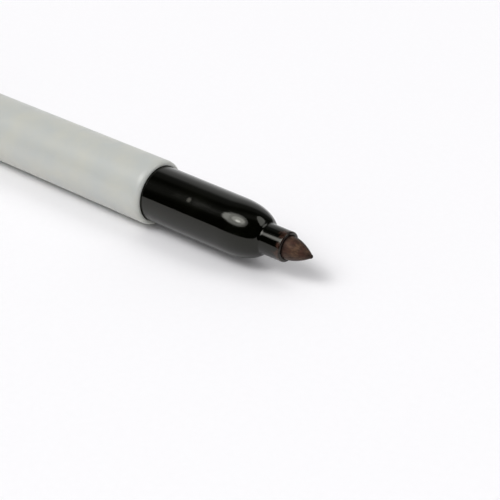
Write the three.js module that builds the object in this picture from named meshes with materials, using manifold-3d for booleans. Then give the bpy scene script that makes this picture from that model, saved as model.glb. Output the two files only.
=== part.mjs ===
// A twin-tip permanent marker: a bullet tip at one end, an ultra-fine tip at the other, one ink reservoir between.
// It lies on its side with the bullet tip bare and the bullet tip's cap posted on the other cap.
// Units are millimetres. +X runs along the marker towards the bullet tip, +Z is up, and the marker lies on z = 0.
// Turned outlines are lists of [station, radius]. Stations of the barrel and the bullet end run along +X from the
// barrel's front rim. Stations of everything at the other end, and of both caps, run outwards from the rim that
// the piece seats on, so a cap has the same outline on either seat.
import * as THREE from "three";
import { mergeVertices } from "three/addons/utils/BufferGeometryUtils.js";
import Module from "manifold-3d";

const wasm = await Module();
wasm.setup();

// Fits
const FACETS = 36;
const SLIDE_FIT = 0.1;
const PRESS_FIT = 0.07;
const END_GAP = 0.2;

// Ink reservoir: a bonded fibre rod in a thin film sleeve
const CORE_RADIUS = 3.7;
const FILM_WALL = 0.15;
const FILM_OVERHANG = 0.6;
const NIB_DIP = 5.0;

// Bullet end: a moulded section with a domed shoulder and a nozzle that holds the fibre nib
const SECTION_WALL = 1.08;
const SECTION_TAPER = 0.09;
const SECTION_STRAIGHT = 18.4;
const SHOULDER_LENGTH = 6;
const SHOULDER_END_RADIUS = 2.76;
const SHOULDER_FULLNESS = 1.63;
const NOZZLE_WALL = 0.52;
const NOZZLE_LENGTH = 4.7;
const NOZZLE_DRAFT = 0.02;
const NOZZLE_ROUND = 0.3;
const NOZZLE_ROOT_ROUND = 0.25;
const SHANK_LENGTH = 14;
const SHANK_CHAMFER = 0.4;
const COLLAR_WALL = 0.8;
const COLLAR_REACH = 9.5;
const VENT_WIDTH = 0.5;
const VENT_DEPTH = 0.25;
const NIB_RADIUS = 2.08;
const NIB_REACH = 4.93;
const NIB_FULLNESS = 1.8;
const NIB_POINT_RADIUS = 0.4;

// Snap ring that locks the section in the barrel
const SNAP_STATION = 5;
const SNAP_WIDTH = 1.2;
const SNAP_HEIGHT = 0.14;

// Ultra-fine end
const FINE_SECTION_WALL = 0.8;
const FINE_SHANK_LENGTH = 13;
const FINE_STEP = 0.15;
const FINE_STRAIGHT = 7;
const FINE_CONE_LENGTH = 12;
const FINE_CONE_WALL = 0.9;
const FINE_NOZZLE_RADIUS = 1.6;
const FINE_NOZZLE_LENGTH = 4.5;
const FINE_NOZZLE_STEP = 0.3;
const FINE_NEEDLE_LENGTH = 3;
const FINE_NEEDLE_WALL = 0.35;
const FINE_NIB_RADIUS = 0.55;
const FINE_NIB_REACH = 2.2;
const FINE_NIB_POINT_RADIUS = 0.18;
const FINE_NIB_TAPER = 1.2;

// Barrel
const BARREL_LENGTH = 66;
const BARREL_WALL = 0.8;
const BARREL_REAR_WALL = 0.78;
const LIP_ROUND = 1.05;
const LIP_FACE = 0.14;
const REAR_LIP_ROUND = 0.6;
const REAR_LIP_FACE = 0.5;
const TAPER_LENGTH = 6;
const TAPER_FROM_REAR = 5;
const RIB_COUNT = 6;
const RIB_WIDTH = 0.9;

// Caps
const CAP_HEADROOM = 7.3;
const CAP_END_WALL = 1.4;
const CAP_TAPER = 0.22;
const CAP_EDGE_ROUND = 1.3;
const CAP_RIB_COUNT = 6;
const CAP_RIB_WIDTH = 0.8;
const CAP_RIB_HEIGHT = 0.12;
const CAP_RIB_LENGTH = 12;
const CAP_RIB_INSET = 2.5;
const MOUTH_CHAMFER = 0.2;
const SMALL_CAP_HEADROOM = 4;
const SMALL_CAP_STEP = 12.6;
const SMALL_CAP_STEP_ROUND = 0.5;
const SMALL_CAP_TAIL_WALL = 0.8;
const SMALL_CAP_TAIL_TAPER = 0.12;
const SMALL_CAP_POST_EASE = 0.05;
const FLUTE_COUNT = 12;
const FLUTE_RADIUS = 1.1;
const FLUTE_DEPTH = 0.25;
const FLUTE_START = 2;
const FLUTE_LENGTH = 7;

// Inner seals: soft tubes that close round each nozzle when its cap is on
const SEAL_WALL = 0.75;
const SEAL_OVERLAP = 3;
const SEAL_END_WALL = 1;
const FINE_SEAL_WALL = 0.6;
const FINE_SEAL_OVERLAP = 3;
const SOCKET_WALL = 0.7;
const SOCKET_DEPTH = 5;

// Pocket clip, moulded with the bullet tip's cap
const CLIP_LENGTH = 31;
const CLIP_GAP = 1.7;
const CLIP_THICKNESS = 1.15;
const CLIP_ROOT_WIDTH = 5;
const CLIP_TIP_WIDTH = 3.6;
const CLIP_ROOT_LENGTH = 4.5;
const CLIP_ROOT_SINK = 0.4;
const CLIP_END_INSET = 0.5;
const CLIP_BEAD_FROM_TIP = 3.2;
const CLIP_BEAD_RADIUS = 1.5;
const CLIP_BEAD_CLEARANCE = 0.25;
const CLIP_FLARE = 0.35;
const CLIP_EDGE_BEVEL = 0.25;

// Radii that follow from the ones above, from the reservoir outwards
const filmBore = CORE_RADIUS + SLIDE_FIT;
const filmRadius = filmBore + FILM_WALL;
const reservoirPocket = filmRadius + SLIDE_FIT;
const sectionRadius = reservoirPocket + SECTION_WALL;
const shoulderRadius = sectionRadius - SECTION_TAPER;
const nibBore = NIB_RADIUS + SLIDE_FIT;
const nozzleRadius = nibBore + NOZZLE_WALL;
const barrelBore = sectionRadius + PRESS_FIT;
const barrelRadius = barrelBore + BARREL_WALL;
const fineShankRadius = reservoirPocket + FINE_SECTION_WALL;
const fineSectionRadius = fineShankRadius - FINE_STEP;
const fineNibBore = FINE_NIB_RADIUS + SLIDE_FIT;
const fineNeedleRadius = fineNibBore + FINE_NEEDLE_WALL;
const barrelRearBore = fineShankRadius + PRESS_FIT;
const barrelRearRadius = barrelRearBore + BARREL_REAR_WALL;

// Stations that follow, on the bullet end
const shoulderEnd = SECTION_STRAIGHT + SHOULDER_LENGTH;
const nozzleEnd = shoulderEnd + NOZZLE_LENGTH;
const nibTip = nozzleEnd + NIB_REACH;
const collarEnd = shoulderEnd - COLLAR_REACH;
const reservoirFront = collarEnd - END_GAP;

// Stations that follow, on the ultra-fine end
const fineConeEnd = FINE_STRAIGHT + FINE_CONE_LENGTH;
const fineNozzleEnd = fineConeEnd + FINE_NOZZLE_LENGTH;
const fineNeedleEnd = fineNozzleEnd + FINE_NEEDLE_LENGTH;
const fineNibTip = fineNeedleEnd + FINE_NIB_REACH;
const fineCollarEnd = FINE_STRAIGHT - 1;
const reservoirRear = -BARREL_LENGTH - fineCollarEnd + END_GAP;

// Sizes of the two caps and their seals. Both caps are flush with the barrel where they meet it, and the small
// cap's tail passes into the bullet tip's cap.
const capBore = sectionRadius + SLIDE_FIT + CAP_RIB_HEIGHT;
const capRadius = barrelRadius;
const capDepth = nibTip + CAP_HEADROOM;
const capLength = capDepth + CAP_END_WALL;
const sealBore = nozzleRadius + SLIDE_FIT;
const sealRadius = sealBore + SEAL_WALL;
const sealMouth = nozzleEnd - SEAL_OVERLAP;
const smallCapBore = fineSectionRadius + SLIDE_FIT;
const smallCapRadius = barrelRearRadius;
const smallCapDepth = fineNibTip + SMALL_CAP_HEADROOM;
const smallCapLength = smallCapDepth + CAP_END_WALL;
const tailRadius = sectionRadius - SMALL_CAP_POST_EASE;
const tailBore = tailRadius - SMALL_CAP_TAIL_WALL;
const fineSealBore = FINE_NOZZLE_RADIUS + SLIDE_FIT;
const fineSealRadius = fineSealBore + FINE_SEAL_WALL;
const fineSealMouth = fineNozzleEnd - FINE_SEAL_OVERLAP;
const postDepth = Math.min(smallCapLength - SMALL_CAP_STEP, sealMouth) - END_GAP;

/** Merges a geometry's shared corners and makes it a solid that can be joined and cut. */
function solidOf(geometry) {
  const bare = geometry.clone();
  bare.deleteAttribute("normal");
  bare.deleteAttribute("uv");
  const merged = mergeVertices(bare, 1e-4);
  return new wasm.Manifold(
    new wasm.Mesh({
      numProp: 3,
      vertProperties: merged.attributes.position.array,
      triVerts: new Uint32Array(merged.index.array),
    }),
  );
}

/** The geometry of a solid, with flat faces. */
function geometryOf(solid) {
  const { vertProperties, triVerts } = solid.getMesh();
  const geometry = new THREE.BufferGeometry();
  geometry.setAttribute("position", new THREE.BufferAttribute(vertProperties, 3));
  geometry.setIndex(new THREE.BufferAttribute(triVerts, 1));
  const faceted = geometry.toNonIndexed();
  faceted.computeVertexNormals();
  return faceted;
}

/** Twice the area that a closed outline encloses, positive where it runs the way that turns outwards. */
function signedArea(outline) {
  return outline.reduce((sum, [station, radius], i) => {
    const [nextStation, nextRadius] = outline[(i + 1) % outline.length];
    return sum + radius * nextStation - nextRadius * station;
  }, 0);
}

/** Turns a closed outline about the X axis. A flat facet, not an edge, faces straight down. */
function turned(outline, facets = FACETS) {
  const ordered = signedArea(outline) > 0 ? outline : [...outline].reverse();
  const points = ordered.map(([station, radius]) => new THREE.Vector2(radius, station));
  const closed = ordered.every(([, radius]) => radius > 0);
  if (closed) points.push(points[0].clone());
  const geometry = new THREE.LatheGeometry(points, facets, Math.PI / facets);
  geometry.rotateZ(-Math.PI / 2);
  return geometry;
}

/** Points of a quarter of an ellipse from one [station, radius] to another, leaving the first one level. */
function roundTo([fromStation, fromRadius], [toStation, toRadius], steps, fullness = 2) {
  return Array.from({ length: steps + 1 }, (_, i) => {
    const along = Math.sin((i / steps) * (Math.PI / 2)) ** (2 / fullness);
    const fall = Math.cos((i / steps) * (Math.PI / 2)) ** (2 / fullness);
    return [fromStation + (toStation - fromStation) * along, toRadius + (fromRadius - toRadius) * fall];
  });
}

/** A smooth S from one [station, radius] to another, level at both ends. */
function easeTo([fromStation, fromRadius], [toStation, toRadius], steps) {
  return Array.from({ length: steps + 1 }, (_, i) => {
    const share = i / steps;
    const eased = (1 - Math.cos(share * Math.PI)) / 2;
    return [fromStation + (toStation - fromStation) * share, fromRadius + (toRadius - fromRadius) * eased];
  });
}

/** A ring of bars round the X axis, from one station to another and from one radius to another. */
function barRing(count, width, fromStation, toStation, fromRadius, toRadius) {
  const length = toStation - fromStation;
  const height = toRadius - fromRadius;
  const bar = new THREE.BoxGeometry(length, width, height);
  bar.translate(fromStation + length / 2, 0, fromRadius + height / 2);
  return Array.from({ length: count }, (_, i) => solidOf(bar.clone().rotateX((i * 2 * Math.PI) / count)));
}

/** The snap ring's four corners on a wall, raised outwards by its height. */
function snapRing(wallRadius, station, spread) {
  const half = SNAP_WIDTH / 2 + spread;
  return [
    [-station + half, wallRadius],
    [-station + half / 2, wallRadius + SNAP_HEIGHT],
    [-station - half / 2, wallRadius + SNAP_HEIGHT],
    [-station - half, wallRadius],
  ];
}

/** Barrel: a tube with a rounded front lip, a snap groove, a slimmer rear end and ribs that centre the reservoir. */
function barrelGeometry() {
  const rear = -BARREL_LENGTH;
  const taperEnd = rear + TAPER_FROM_REAR;
  const boreEnd = rear + FINE_SHANK_LENGTH;
  const outline = [
    [0, barrelBore],
    ...roundTo([-LIP_ROUND, barrelRadius], [0, barrelBore + LIP_FACE], 6).reverse(),
    ...easeTo([taperEnd + TAPER_LENGTH, barrelRadius], [taperEnd, barrelRearRadius], 5),
    ...roundTo([rear + REAR_LIP_ROUND, barrelRearRadius], [rear, barrelRearBore + REAR_LIP_FACE], 3),
    [rear, barrelRearBore],
    [boreEnd, barrelRearBore],
    [boreEnd + 1, barrelBore],
    ...snapRing(barrelBore, SNAP_STATION, PRESS_FIT).reverse(),
  ];
  const ribStart = boreEnd + END_GAP;
  const ribEnd = -SHANK_LENGTH - END_GAP;
  const bite = BARREL_WALL / 3;
  const ribs = barRing(RIB_COUNT, RIB_WIDTH, ribStart, ribEnd, reservoirPocket, barrelRearBore + bite);
  const tube = solidOf(turned(outline));
  return geometryOf(wasm.Manifold.union([tube, ...ribs]));
}

/** Outside radius of the domed shoulder, inside it by an inset, as points from the straight to the nozzle. */
function shoulder(inset, steps) {
  const from = [SECTION_STRAIGHT, shoulderRadius - inset];
  const to = [shoulderEnd - inset, Math.max(SHOULDER_END_RADIUS, nozzleRadius) - inset * 0.1];
  return roundTo(from, to, steps, SHOULDER_FULLNESS);
}

/** Bullet end's section: shank with snap ring, long nose, domed shoulder, nozzle, and an inner collar for the nib. */
function sectionGeometry() {
  const collarRadius = nibBore + COLLAR_WALL;
  const inside = shoulder(SECTION_WALL, 5).filter(([, radius]) => radius > collarRadius + SLIDE_FIT);
  const hollowEnd = inside[inside.length - 1][0];
  const rootRadius = nozzleRadius + NOZZLE_DRAFT;
  const dome = shoulder(0, 13).filter(([, radius]) => radius > rootRadius + NOZZLE_ROOT_ROUND).reverse();
  const outline = [
    [nozzleEnd, nibBore],
    ...roundTo([nozzleEnd - NOZZLE_ROUND, nozzleRadius], [nozzleEnd, nibBore + SLIDE_FIT], 4).reverse(),
    ...roundTo([shoulderEnd + NOZZLE_ROOT_ROUND, rootRadius], dome[0], 3),
    ...dome.slice(1),
    [0, sectionRadius],
    ...snapRing(sectionRadius, SNAP_STATION, 0),
    [-SHANK_LENGTH + SHANK_CHAMFER, sectionRadius],
    [-SHANK_LENGTH, sectionRadius - SHANK_CHAMFER],
    [-SHANK_LENGTH, reservoirPocket],
    ...inside,
    [hollowEnd, collarRadius],
    [collarEnd, collarRadius],
    [collarEnd, nibBore],
  ];
  const shell = solidOf(turned(outline));
  const vents = barRing(4, VENT_WIDTH, collarEnd - 1, nozzleEnd + 1, 0, nibBore + VENT_DEPTH);
  return geometryOf(shell.subtract(wasm.Manifold.union(vents)));
}

/** Fibre nib: a rod that dips into the reservoir and ends in a bullet-shaped point. */
function nibGeometry() {
  const rear = reservoirFront - NIB_DIP;
  const bevel = NIB_RADIUS / 3;
  const steps = 9;
  const bulletEnd = nibTip - NIB_POINT_RADIUS;
  const bullet = Array.from({ length: steps + 1 }, (_, i) => {
    const share = i / steps;
    const fall = (NIB_RADIUS - NIB_POINT_RADIUS) * share ** NIB_FULLNESS;
    return [nozzleEnd + (bulletEnd - nozzleEnd) * share, NIB_RADIUS - fall];
  });
  return turned([
    [rear, 0],
    [rear, NIB_RADIUS - bevel],
    [rear + bevel, NIB_RADIUS],
    ...bullet,
    ...roundTo([bulletEnd, NIB_POINT_RADIUS], [nibTip, 0], 3).slice(1),
  ]);
}

/** Reservoir core: a fibre rod with a blind hole at each end where a nib dips in. */
function coreGeometry() {
  const frontHole = reservoirFront - NIB_DIP - END_GAP;
  const rearHole = reservoirRear + NIB_DIP + END_GAP;
  return turned([
    [frontHole, 0],
    [frontHole, nibBore],
    [reservoirFront, nibBore],
    [reservoirFront, CORE_RADIUS],
    [reservoirRear, CORE_RADIUS],
    [reservoirRear, fineNibBore],
    [rearHole, fineNibBore],
    [rearHole, 0],
  ]);
}

/** Film sleeve round the core, drawn in over its rear end and cut short of its front end. */
function filmGeometry() {
  const front = reservoirFront - FILM_OVERHANG;
  const rear = reservoirRear + FILM_OVERHANG;
  return turned([
    [front, filmBore],
    [front, filmRadius],
    [rear, filmRadius],
    [rear, filmBore],
  ]);
}

/** Ultra-fine end's section: shank, short nose, long cone, slim nozzle and needle end. */
function fineSectionGeometry() {
  const coneInside = reservoirPocket - FINE_CONE_WALL / 3;
  const collarRadius = fineNibBore + FINE_CONE_WALL;
  const hollowEnd = fineConeEnd - FINE_CONE_WALL * 3;
  const outline = [
    [fineNeedleEnd, fineNibBore],
    [fineNeedleEnd, fineNeedleRadius - SLIDE_FIT],
    [fineNeedleEnd - SLIDE_FIT, fineNeedleRadius],
    [fineNozzleEnd, FINE_NOZZLE_RADIUS - FINE_NOZZLE_STEP],
    [fineNozzleEnd, FINE_NOZZLE_RADIUS],
    [fineConeEnd, FINE_NOZZLE_RADIUS],
    ...easeTo([fineConeEnd, FINE_NOZZLE_RADIUS + FINE_NOZZLE_STEP], [FINE_STRAIGHT, fineSectionRadius], 8),
    [0, fineSectionRadius],
    [0, fineShankRadius],
    [-FINE_SHANK_LENGTH + SHANK_CHAMFER, fineShankRadius],
    [-FINE_SHANK_LENGTH, fineShankRadius - SHANK_CHAMFER],
    [-FINE_SHANK_LENGTH, reservoirPocket],
    [fineCollarEnd, reservoirPocket],
    ...easeTo([FINE_STRAIGHT, coneInside], [hollowEnd, collarRadius + SLIDE_FIT], 4),
    [hollowEnd, collarRadius],
    [fineCollarEnd, collarRadius],
    [fineCollarEnd, fineNibBore],
  ];
  return turned(outline);
}

/** Ultra-fine nib: an extruded plastic rod that runs from its point back into the reservoir. */
function fineNibGeometry() {
  const rear = fineCollarEnd - END_GAP - NIB_DIP;
  return turned(
    [
      [rear, 0],
      [rear, FINE_NIB_RADIUS],
      [fineNibTip - FINE_NIB_TAPER, FINE_NIB_RADIUS],
      ...roundTo([fineNibTip - FINE_NIB_POINT_RADIUS, FINE_NIB_POINT_RADIUS], [fineNibTip, 0], 3),
    ],
    FACETS / 2,
  );
}

/** Points of a cap's closed end, from the outer wall to the axis, with a rounded edge. */
function closedEnd(length, radius) {
  return [...roundTo([length - CAP_EDGE_ROUND, radius], [length, radius - CAP_EDGE_ROUND], 5), [length, 0]];
}

/** Points of the socket that holds a seal inside a cap's closed end, from the axis to the cap's wall. */
function sealSocket(depth, bore, wallRadius) {
  const socketBore = bore + PRESS_FIT;
  const socketRadius = socketBore + SOCKET_WALL;
  return [
    [depth, 0],
    [depth, socketBore],
    [depth - SOCKET_DEPTH, socketBore],
    [depth - SOCKET_DEPTH, socketRadius],
    [depth, socketRadius],
    [depth, wallRadius - MOUTH_CHAMFER],
    [depth - MOUTH_CHAMFER, wallRadius],
  ];
}

/** Side view of the clip as a flat shape: x is the depth along the cap and y the distance from its axis. */
function clipSideShape() {
  const surface = capRadius;
  const under = surface + CLIP_GAP;
  const top = under + CLIP_THICKNESS;
  const back = capLength - CLIP_END_INSET;
  const front = back - CLIP_LENGTH;
  const bead = front + CLIP_BEAD_FROM_TIP;
  const beadLow = surface + CLIP_BEAD_CLEARANCE;
  const rootFront = back - CLIP_ROOT_LENGTH;
  const sunk = surface - CAP_TAPER - CLIP_ROOT_SINK;
  const shape = new THREE.Shape();
  shape.moveTo(back - CAP_EDGE_ROUND / 2, sunk);
  shape.quadraticCurveTo(back, top, back - CLIP_ROOT_LENGTH, top);
  shape.quadraticCurveTo((back + front) / 2, top - CLIP_FLARE, front + CLIP_THICKNESS, top - CLIP_FLARE);
  shape.quadraticCurveTo(front, top - CLIP_FLARE, front, under);
  shape.quadraticCurveTo(front + CLIP_THICKNESS, beadLow, bead, beadLow);
  shape.quadraticCurveTo(bead + CLIP_BEAD_RADIUS, beadLow, bead + CLIP_BEAD_RADIUS * 2, under - CLIP_FLARE);
  shape.lineTo(rootFront - CLIP_GAP, under - CLIP_FLARE / 2);
  shape.quadraticCurveTo(rootFront, under - CLIP_FLARE / 2, rootFront, sunk);
  return shape;
}

/** Top view of the clip: wide at its root and rounded at its tip. */
function clipTopShape() {
  const back = capLength;
  const front = capLength - CLIP_END_INSET - CLIP_LENGTH;
  const tipHalf = CLIP_TIP_WIDTH / 2;
  const rootHalf = CLIP_ROOT_WIDTH / 2;
  const shape = new THREE.Shape();
  shape.moveTo(back, rootHalf);
  shape.lineTo(front + tipHalf, tipHalf);
  shape.absarc(front + tipHalf, 0, tipHalf, Math.PI / 2, (3 * Math.PI) / 2, false);
  shape.lineTo(back, -rootHalf);
  return shape;
}

/** The clip's solid on the +Z side of its cap: the side view's bar, trimmed to the top view. */
function clipSolid() {
  const barWidth = CLIP_ROOT_WIDTH;
  const bar = new THREE.ExtrudeGeometry(clipSideShape(), { depth: barWidth, bevelEnabled: false, curveSegments: 6 });
  bar.translate(0, 0, -barWidth / 2);
  bar.rotateX(Math.PI / 2);
  const height = capRadius + CLIP_GAP + CLIP_THICKNESS + 1;
  const trim = new THREE.ExtrudeGeometry(clipTopShape(), {
    depth: height,
    bevelEnabled: false,
    curveSegments: 8,
  });
  return solidOf(bar).intersect(solidOf(trim)).intersect(bevelledBar());
}

/** A long bar with bevelled upper edges, which takes the sharp corners off the clip's top. */
function bevelledBar() {
  const top = capRadius + CLIP_GAP + CLIP_THICKNESS;
  const half = CLIP_ROOT_WIDTH / 2;
  const bevel = CLIP_EDGE_BEVEL + (CLIP_ROOT_WIDTH - CLIP_TIP_WIDTH) / 4;
  const section = new THREE.Shape([
    new THREE.Vector2(-half, 0),
    new THREE.Vector2(half, 0),
    new THREE.Vector2(half, top - bevel),
    new THREE.Vector2(half - 2 * bevel, top),
    new THREE.Vector2(-half + 2 * bevel, top),
    new THREE.Vector2(-half, top - bevel),
  ]);
  const bar = new THREE.ExtrudeGeometry(section, { depth: capLength + 1, bevelEnabled: false });
  bar.rotateY(Math.PI / 2);
  bar.rotateX(Math.PI / 2);
  return solidOf(bar);
}

/** Lowest height that a solid reaches once it is rolled about the X axis by an angle. */
function lowestWhenRolled(solid, angle) {
  const { vertProperties } = solid.getMesh();
  let lowest = Infinity;
  for (let i = 0; i < vertProperties.length; i += 3) {
    const height = vertProperties[i + 1] * Math.sin(angle) + vertProperties[i + 2] * Math.cos(angle);
    lowest = Math.min(lowest, height);
  }
  return lowest;
}

/** The roll at which the clip, starting from straight up, comes down to rest on the floor beside the barrel. */
function restingRoll(clip) {
  const floor = -barrelRadius * Math.cos(Math.PI / FACETS);
  let clear = Math.PI / 2;
  let sunk = Math.PI;
  for (let i = 0; i < 40; i += 1) {
    const middle = (clear + sunk) / 2;
    if (lowestWhenRolled(clip, middle) > floor) clear = middle;
    else sunk = middle;
  }
  return clear;
}

/** Bullet tip's cap: a thin-walled tube with inner grip ribs, a seal socket and the pocket clip. */
function capGeometry() {
  const wall = capBore + CAP_RIB_HEIGHT / 3;
  const ribEnd = CAP_RIB_INSET + CAP_RIB_LENGTH;
  const outline = [
    [capDepth, 0],
    ...sealSocket(capDepth, sealRadius, capBore - CAP_TAPER).slice(1),
    [MOUTH_CHAMFER, capBore],
    [0, capBore + MOUTH_CHAMFER],
    [0, capRadius - MOUTH_CHAMFER],
    [MOUTH_CHAMFER, capRadius],
    ...closedEnd(capLength, capRadius - CAP_TAPER),
  ];
  const tube = solidOf(turned(outline));
  const ribs = barRing(CAP_RIB_COUNT, CAP_RIB_WIDTH, CAP_RIB_INSET, ribEnd, capBore - CAP_RIB_HEIGHT, wall);
  const clip = clipSolid();
  const roll = THREE.MathUtils.radToDeg(restingRoll(clip));
  return geometryOf(wasm.Manifold.union([tube, ...ribs, clip.rotate([roll, 0, 0])]));
}

/** Ultra-fine tip's cap: a fluted grip that meets the barrel, then a slimmer tail that the other cap posts on. */
function smallCapGeometry() {
  const boreEnd = FINE_STRAIGHT + 1;
  const stepFoot = SMALL_CAP_STEP - SMALL_CAP_STEP_ROUND;
  const outline = [
    [smallCapDepth, 0],
    ...sealSocket(smallCapDepth, fineSealRadius, tailBore - SMALL_CAP_TAIL_TAPER).slice(1),
    [SMALL_CAP_STEP - SMALL_CAP_TAIL_WALL, tailBore],
    [boreEnd, smallCapBore],
    [MOUTH_CHAMFER, smallCapBore],
    [0, smallCapBore + MOUTH_CHAMFER],
    [0, smallCapRadius - MOUTH_CHAMFER],
    [MOUTH_CHAMFER, smallCapRadius],
    ...roundTo([stepFoot, smallCapRadius], [SMALL_CAP_STEP, tailRadius], 3),
    ...closedEnd(smallCapLength, tailRadius - SMALL_CAP_TAIL_TAPER),
  ];
  const flute = new THREE.CapsuleGeometry(FLUTE_RADIUS, FLUTE_LENGTH - 2 * FLUTE_RADIUS, 3, 10);
  flute.rotateZ(-Math.PI / 2);
  flute.translate(FLUTE_START + FLUTE_LENGTH / 2, 0, smallCapRadius + FLUTE_RADIUS - FLUTE_DEPTH);
  const flutes = Array.from({ length: FLUTE_COUNT }, (_, i) =>
    solidOf(flute.clone().rotateX(((i + 0.5) * 2 * Math.PI) / FLUTE_COUNT)),
  );
  return geometryOf(solidOf(turned(outline)).subtract(wasm.Manifold.union(flutes)));
}

/** A seal: a soft closed-ended tube with an eased mouth. */
function sealGeometry(mouth, end, bore, radius) {
  return turned([
    [end - SEAL_END_WALL, 0],
    [end - SEAL_END_WALL, bore],
    [mouth + MOUTH_CHAMFER, bore],
    [mouth, bore + MOUTH_CHAMFER],
    [mouth, radius - MOUTH_CHAMFER],
    [mouth + MOUTH_CHAMFER, radius],
    [end, radius],
    [end, 0],
  ]);
}

const plastic = (color, roughness) => new THREE.MeshStandardMaterial({ color, roughness, metalness: 0 });
const greyPlastic = plastic(0xc3c5c0, 0.42);
const blackPlastic = plastic(0x080807, 0.12);
const sealPlastic = plastic(0xe6e4dc, 0.5);
const filmPlastic = plastic(0xd9dcdd, 0.3);
const inkedFibre = plastic(0x3c261f, 0.85);
const inkedPoint = plastic(0x17130f, 0.6);
const inkedCore = plastic(0x15131a, 0.95);

/** A named mesh. */
function piece(name, geometry, material) {
  const mesh = new THREE.Mesh(geometry, material);
  mesh.name = name;
  return mesh;
}

// The bullet tip's cap and its seal move together, and so do the small cap and its seal.
const bulletCap = new THREE.Group();
bulletCap.add(
  piece("bullet_cap", capGeometry(), blackPlastic),
  piece("bullet_cap_seal", sealGeometry(sealMouth, capDepth - END_GAP, sealBore, sealRadius), sealPlastic),
);
bulletCap.position.x = smallCapLength - postDepth;

const smallCap = new THREE.Group();
smallCap.add(
  piece("ultra_fine_cap", smallCapGeometry(), blackPlastic),
  piece(
    "ultra_fine_cap_seal",
    sealGeometry(fineSealMouth, smallCapDepth - END_GAP, fineSealBore, fineSealRadius),
    sealPlastic,
  ),
  bulletCap,
);
smallCap.position.x = END_GAP;

const ultraFineEnd = new THREE.Group();
ultraFineEnd.add(
  piece("ultra_fine_section", fineSectionGeometry(), blackPlastic),
  piece("ultra_fine_nib", fineNibGeometry(), inkedPoint),
  smallCap,
);
ultraFineEnd.position.x = -BARREL_LENGTH;
ultraFineEnd.rotation.z = Math.PI;

const marker = new THREE.Group();
marker.add(
  piece("barrel", barrelGeometry(), greyPlastic),
  piece("bullet_section", sectionGeometry(), blackPlastic),
  piece("bullet_nib", nibGeometry(), inkedFibre),
  piece("reservoir_core", coreGeometry(), inkedCore),
  piece("reservoir_film", filmGeometry(), filmPlastic),
  ultraFineEnd,
);

// The origin is on the floor, under the middle of the marker's box.
const box = new THREE.Box3().setFromObject(marker, true);
const middle = box.getCenter(new THREE.Vector3());
marker.position.set(-middle.x, -middle.y, -box.min.z);

const model = new THREE.Group();
model.add(marker);

export default model;
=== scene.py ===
"""Looks of a twin-tip permanent marker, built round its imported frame.

The marker lies along X with its bullet tip towards +X, and its bullet cap is posted on the small cap at -X.
Every turned piece is a surface of revolution worked out on a grid of outline points and angles. The classes
hold millimetres, and the meshes are metres in the frame's own axes.
"""

from __future__ import annotations

import logging
import math
from collections.abc import Callable, Sequence
from dataclasses import dataclass
from enum import Enum

import bpy
import numpy as np
from mathutils import Matrix, Vector


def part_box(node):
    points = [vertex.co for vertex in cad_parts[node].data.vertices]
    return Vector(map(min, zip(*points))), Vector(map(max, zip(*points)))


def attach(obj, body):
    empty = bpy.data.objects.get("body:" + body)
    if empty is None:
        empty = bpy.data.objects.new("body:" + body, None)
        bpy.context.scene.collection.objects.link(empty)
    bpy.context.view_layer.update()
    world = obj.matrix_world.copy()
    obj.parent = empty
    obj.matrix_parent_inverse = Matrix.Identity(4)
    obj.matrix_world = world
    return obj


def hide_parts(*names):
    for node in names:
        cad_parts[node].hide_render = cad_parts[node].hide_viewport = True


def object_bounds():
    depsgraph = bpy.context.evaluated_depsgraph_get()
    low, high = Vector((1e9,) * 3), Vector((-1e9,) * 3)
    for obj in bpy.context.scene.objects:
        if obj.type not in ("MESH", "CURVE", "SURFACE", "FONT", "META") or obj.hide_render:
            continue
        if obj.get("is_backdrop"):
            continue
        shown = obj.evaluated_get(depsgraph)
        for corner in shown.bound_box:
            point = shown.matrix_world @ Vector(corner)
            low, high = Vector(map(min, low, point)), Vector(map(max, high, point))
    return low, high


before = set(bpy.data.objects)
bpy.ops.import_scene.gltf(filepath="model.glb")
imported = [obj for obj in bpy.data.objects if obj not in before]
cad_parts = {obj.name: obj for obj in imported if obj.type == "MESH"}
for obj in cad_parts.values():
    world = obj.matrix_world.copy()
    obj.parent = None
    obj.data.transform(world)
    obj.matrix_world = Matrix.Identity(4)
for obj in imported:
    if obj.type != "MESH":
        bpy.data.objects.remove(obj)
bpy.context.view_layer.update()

log = logging.getLogger("marker")

MM = 0.001
CAD_FACETS = 36
SLIM_ROUND_STEPS = 96
ROUND_STEPS = 192
SHELL_ROUND_STEPS = 240
FINE_ROUND_STEPS = 288
CORNER_TURN = math.radians(18)
CORNER_STEPS = 5
CORNER_REACH = 0.45
PRESS_FIT = 0.07
END_GAP = 0.2
CHAMFER = 0.2
BAR_SLOPE = 0.08
SNAP_STATION = 5.0
SNAP_HALF_WIDTH = 0.6
SNAP_HEIGHT = 0.14
SOCKET_DEPTH = 5.0
SOCKET_WALL = 0.7
SEAL_END_WALL = 1.0

Colour = tuple[float, float, float]
Point = tuple[float, float]
Relief = Callable[[np.ndarray, np.ndarray, np.ndarray], np.ndarray]
Socket = bpy.types.NodeSocket


class Body(Enum):
    """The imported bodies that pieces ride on."""

    MARKER = "marker"
    SMALL_CAP = "small_cap"
    LARGE_CAP = "large_cap"


class Slot(Enum):
    """The record's material slots, one passed with each new piece."""

    BARREL = "barrel_plastic"
    BLACK = "black_plastic"
    FIBRE = "inked_fibre"
    POINT = "inked_point"
    SEAL = "seal_plastic"


class Maths(Enum):
    """The sums that a Math node does in the finishes."""

    ADD = "ADD"
    MULTIPLY = "MULTIPLY"
    MAXIMUM = "MAXIMUM"


class LampShape(Enum):
    """The outlines of the studio's flat lamps."""

    ELLIPSE = "ELLIPSE"
    RECTANGLE = "RECTANGLE"


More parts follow.
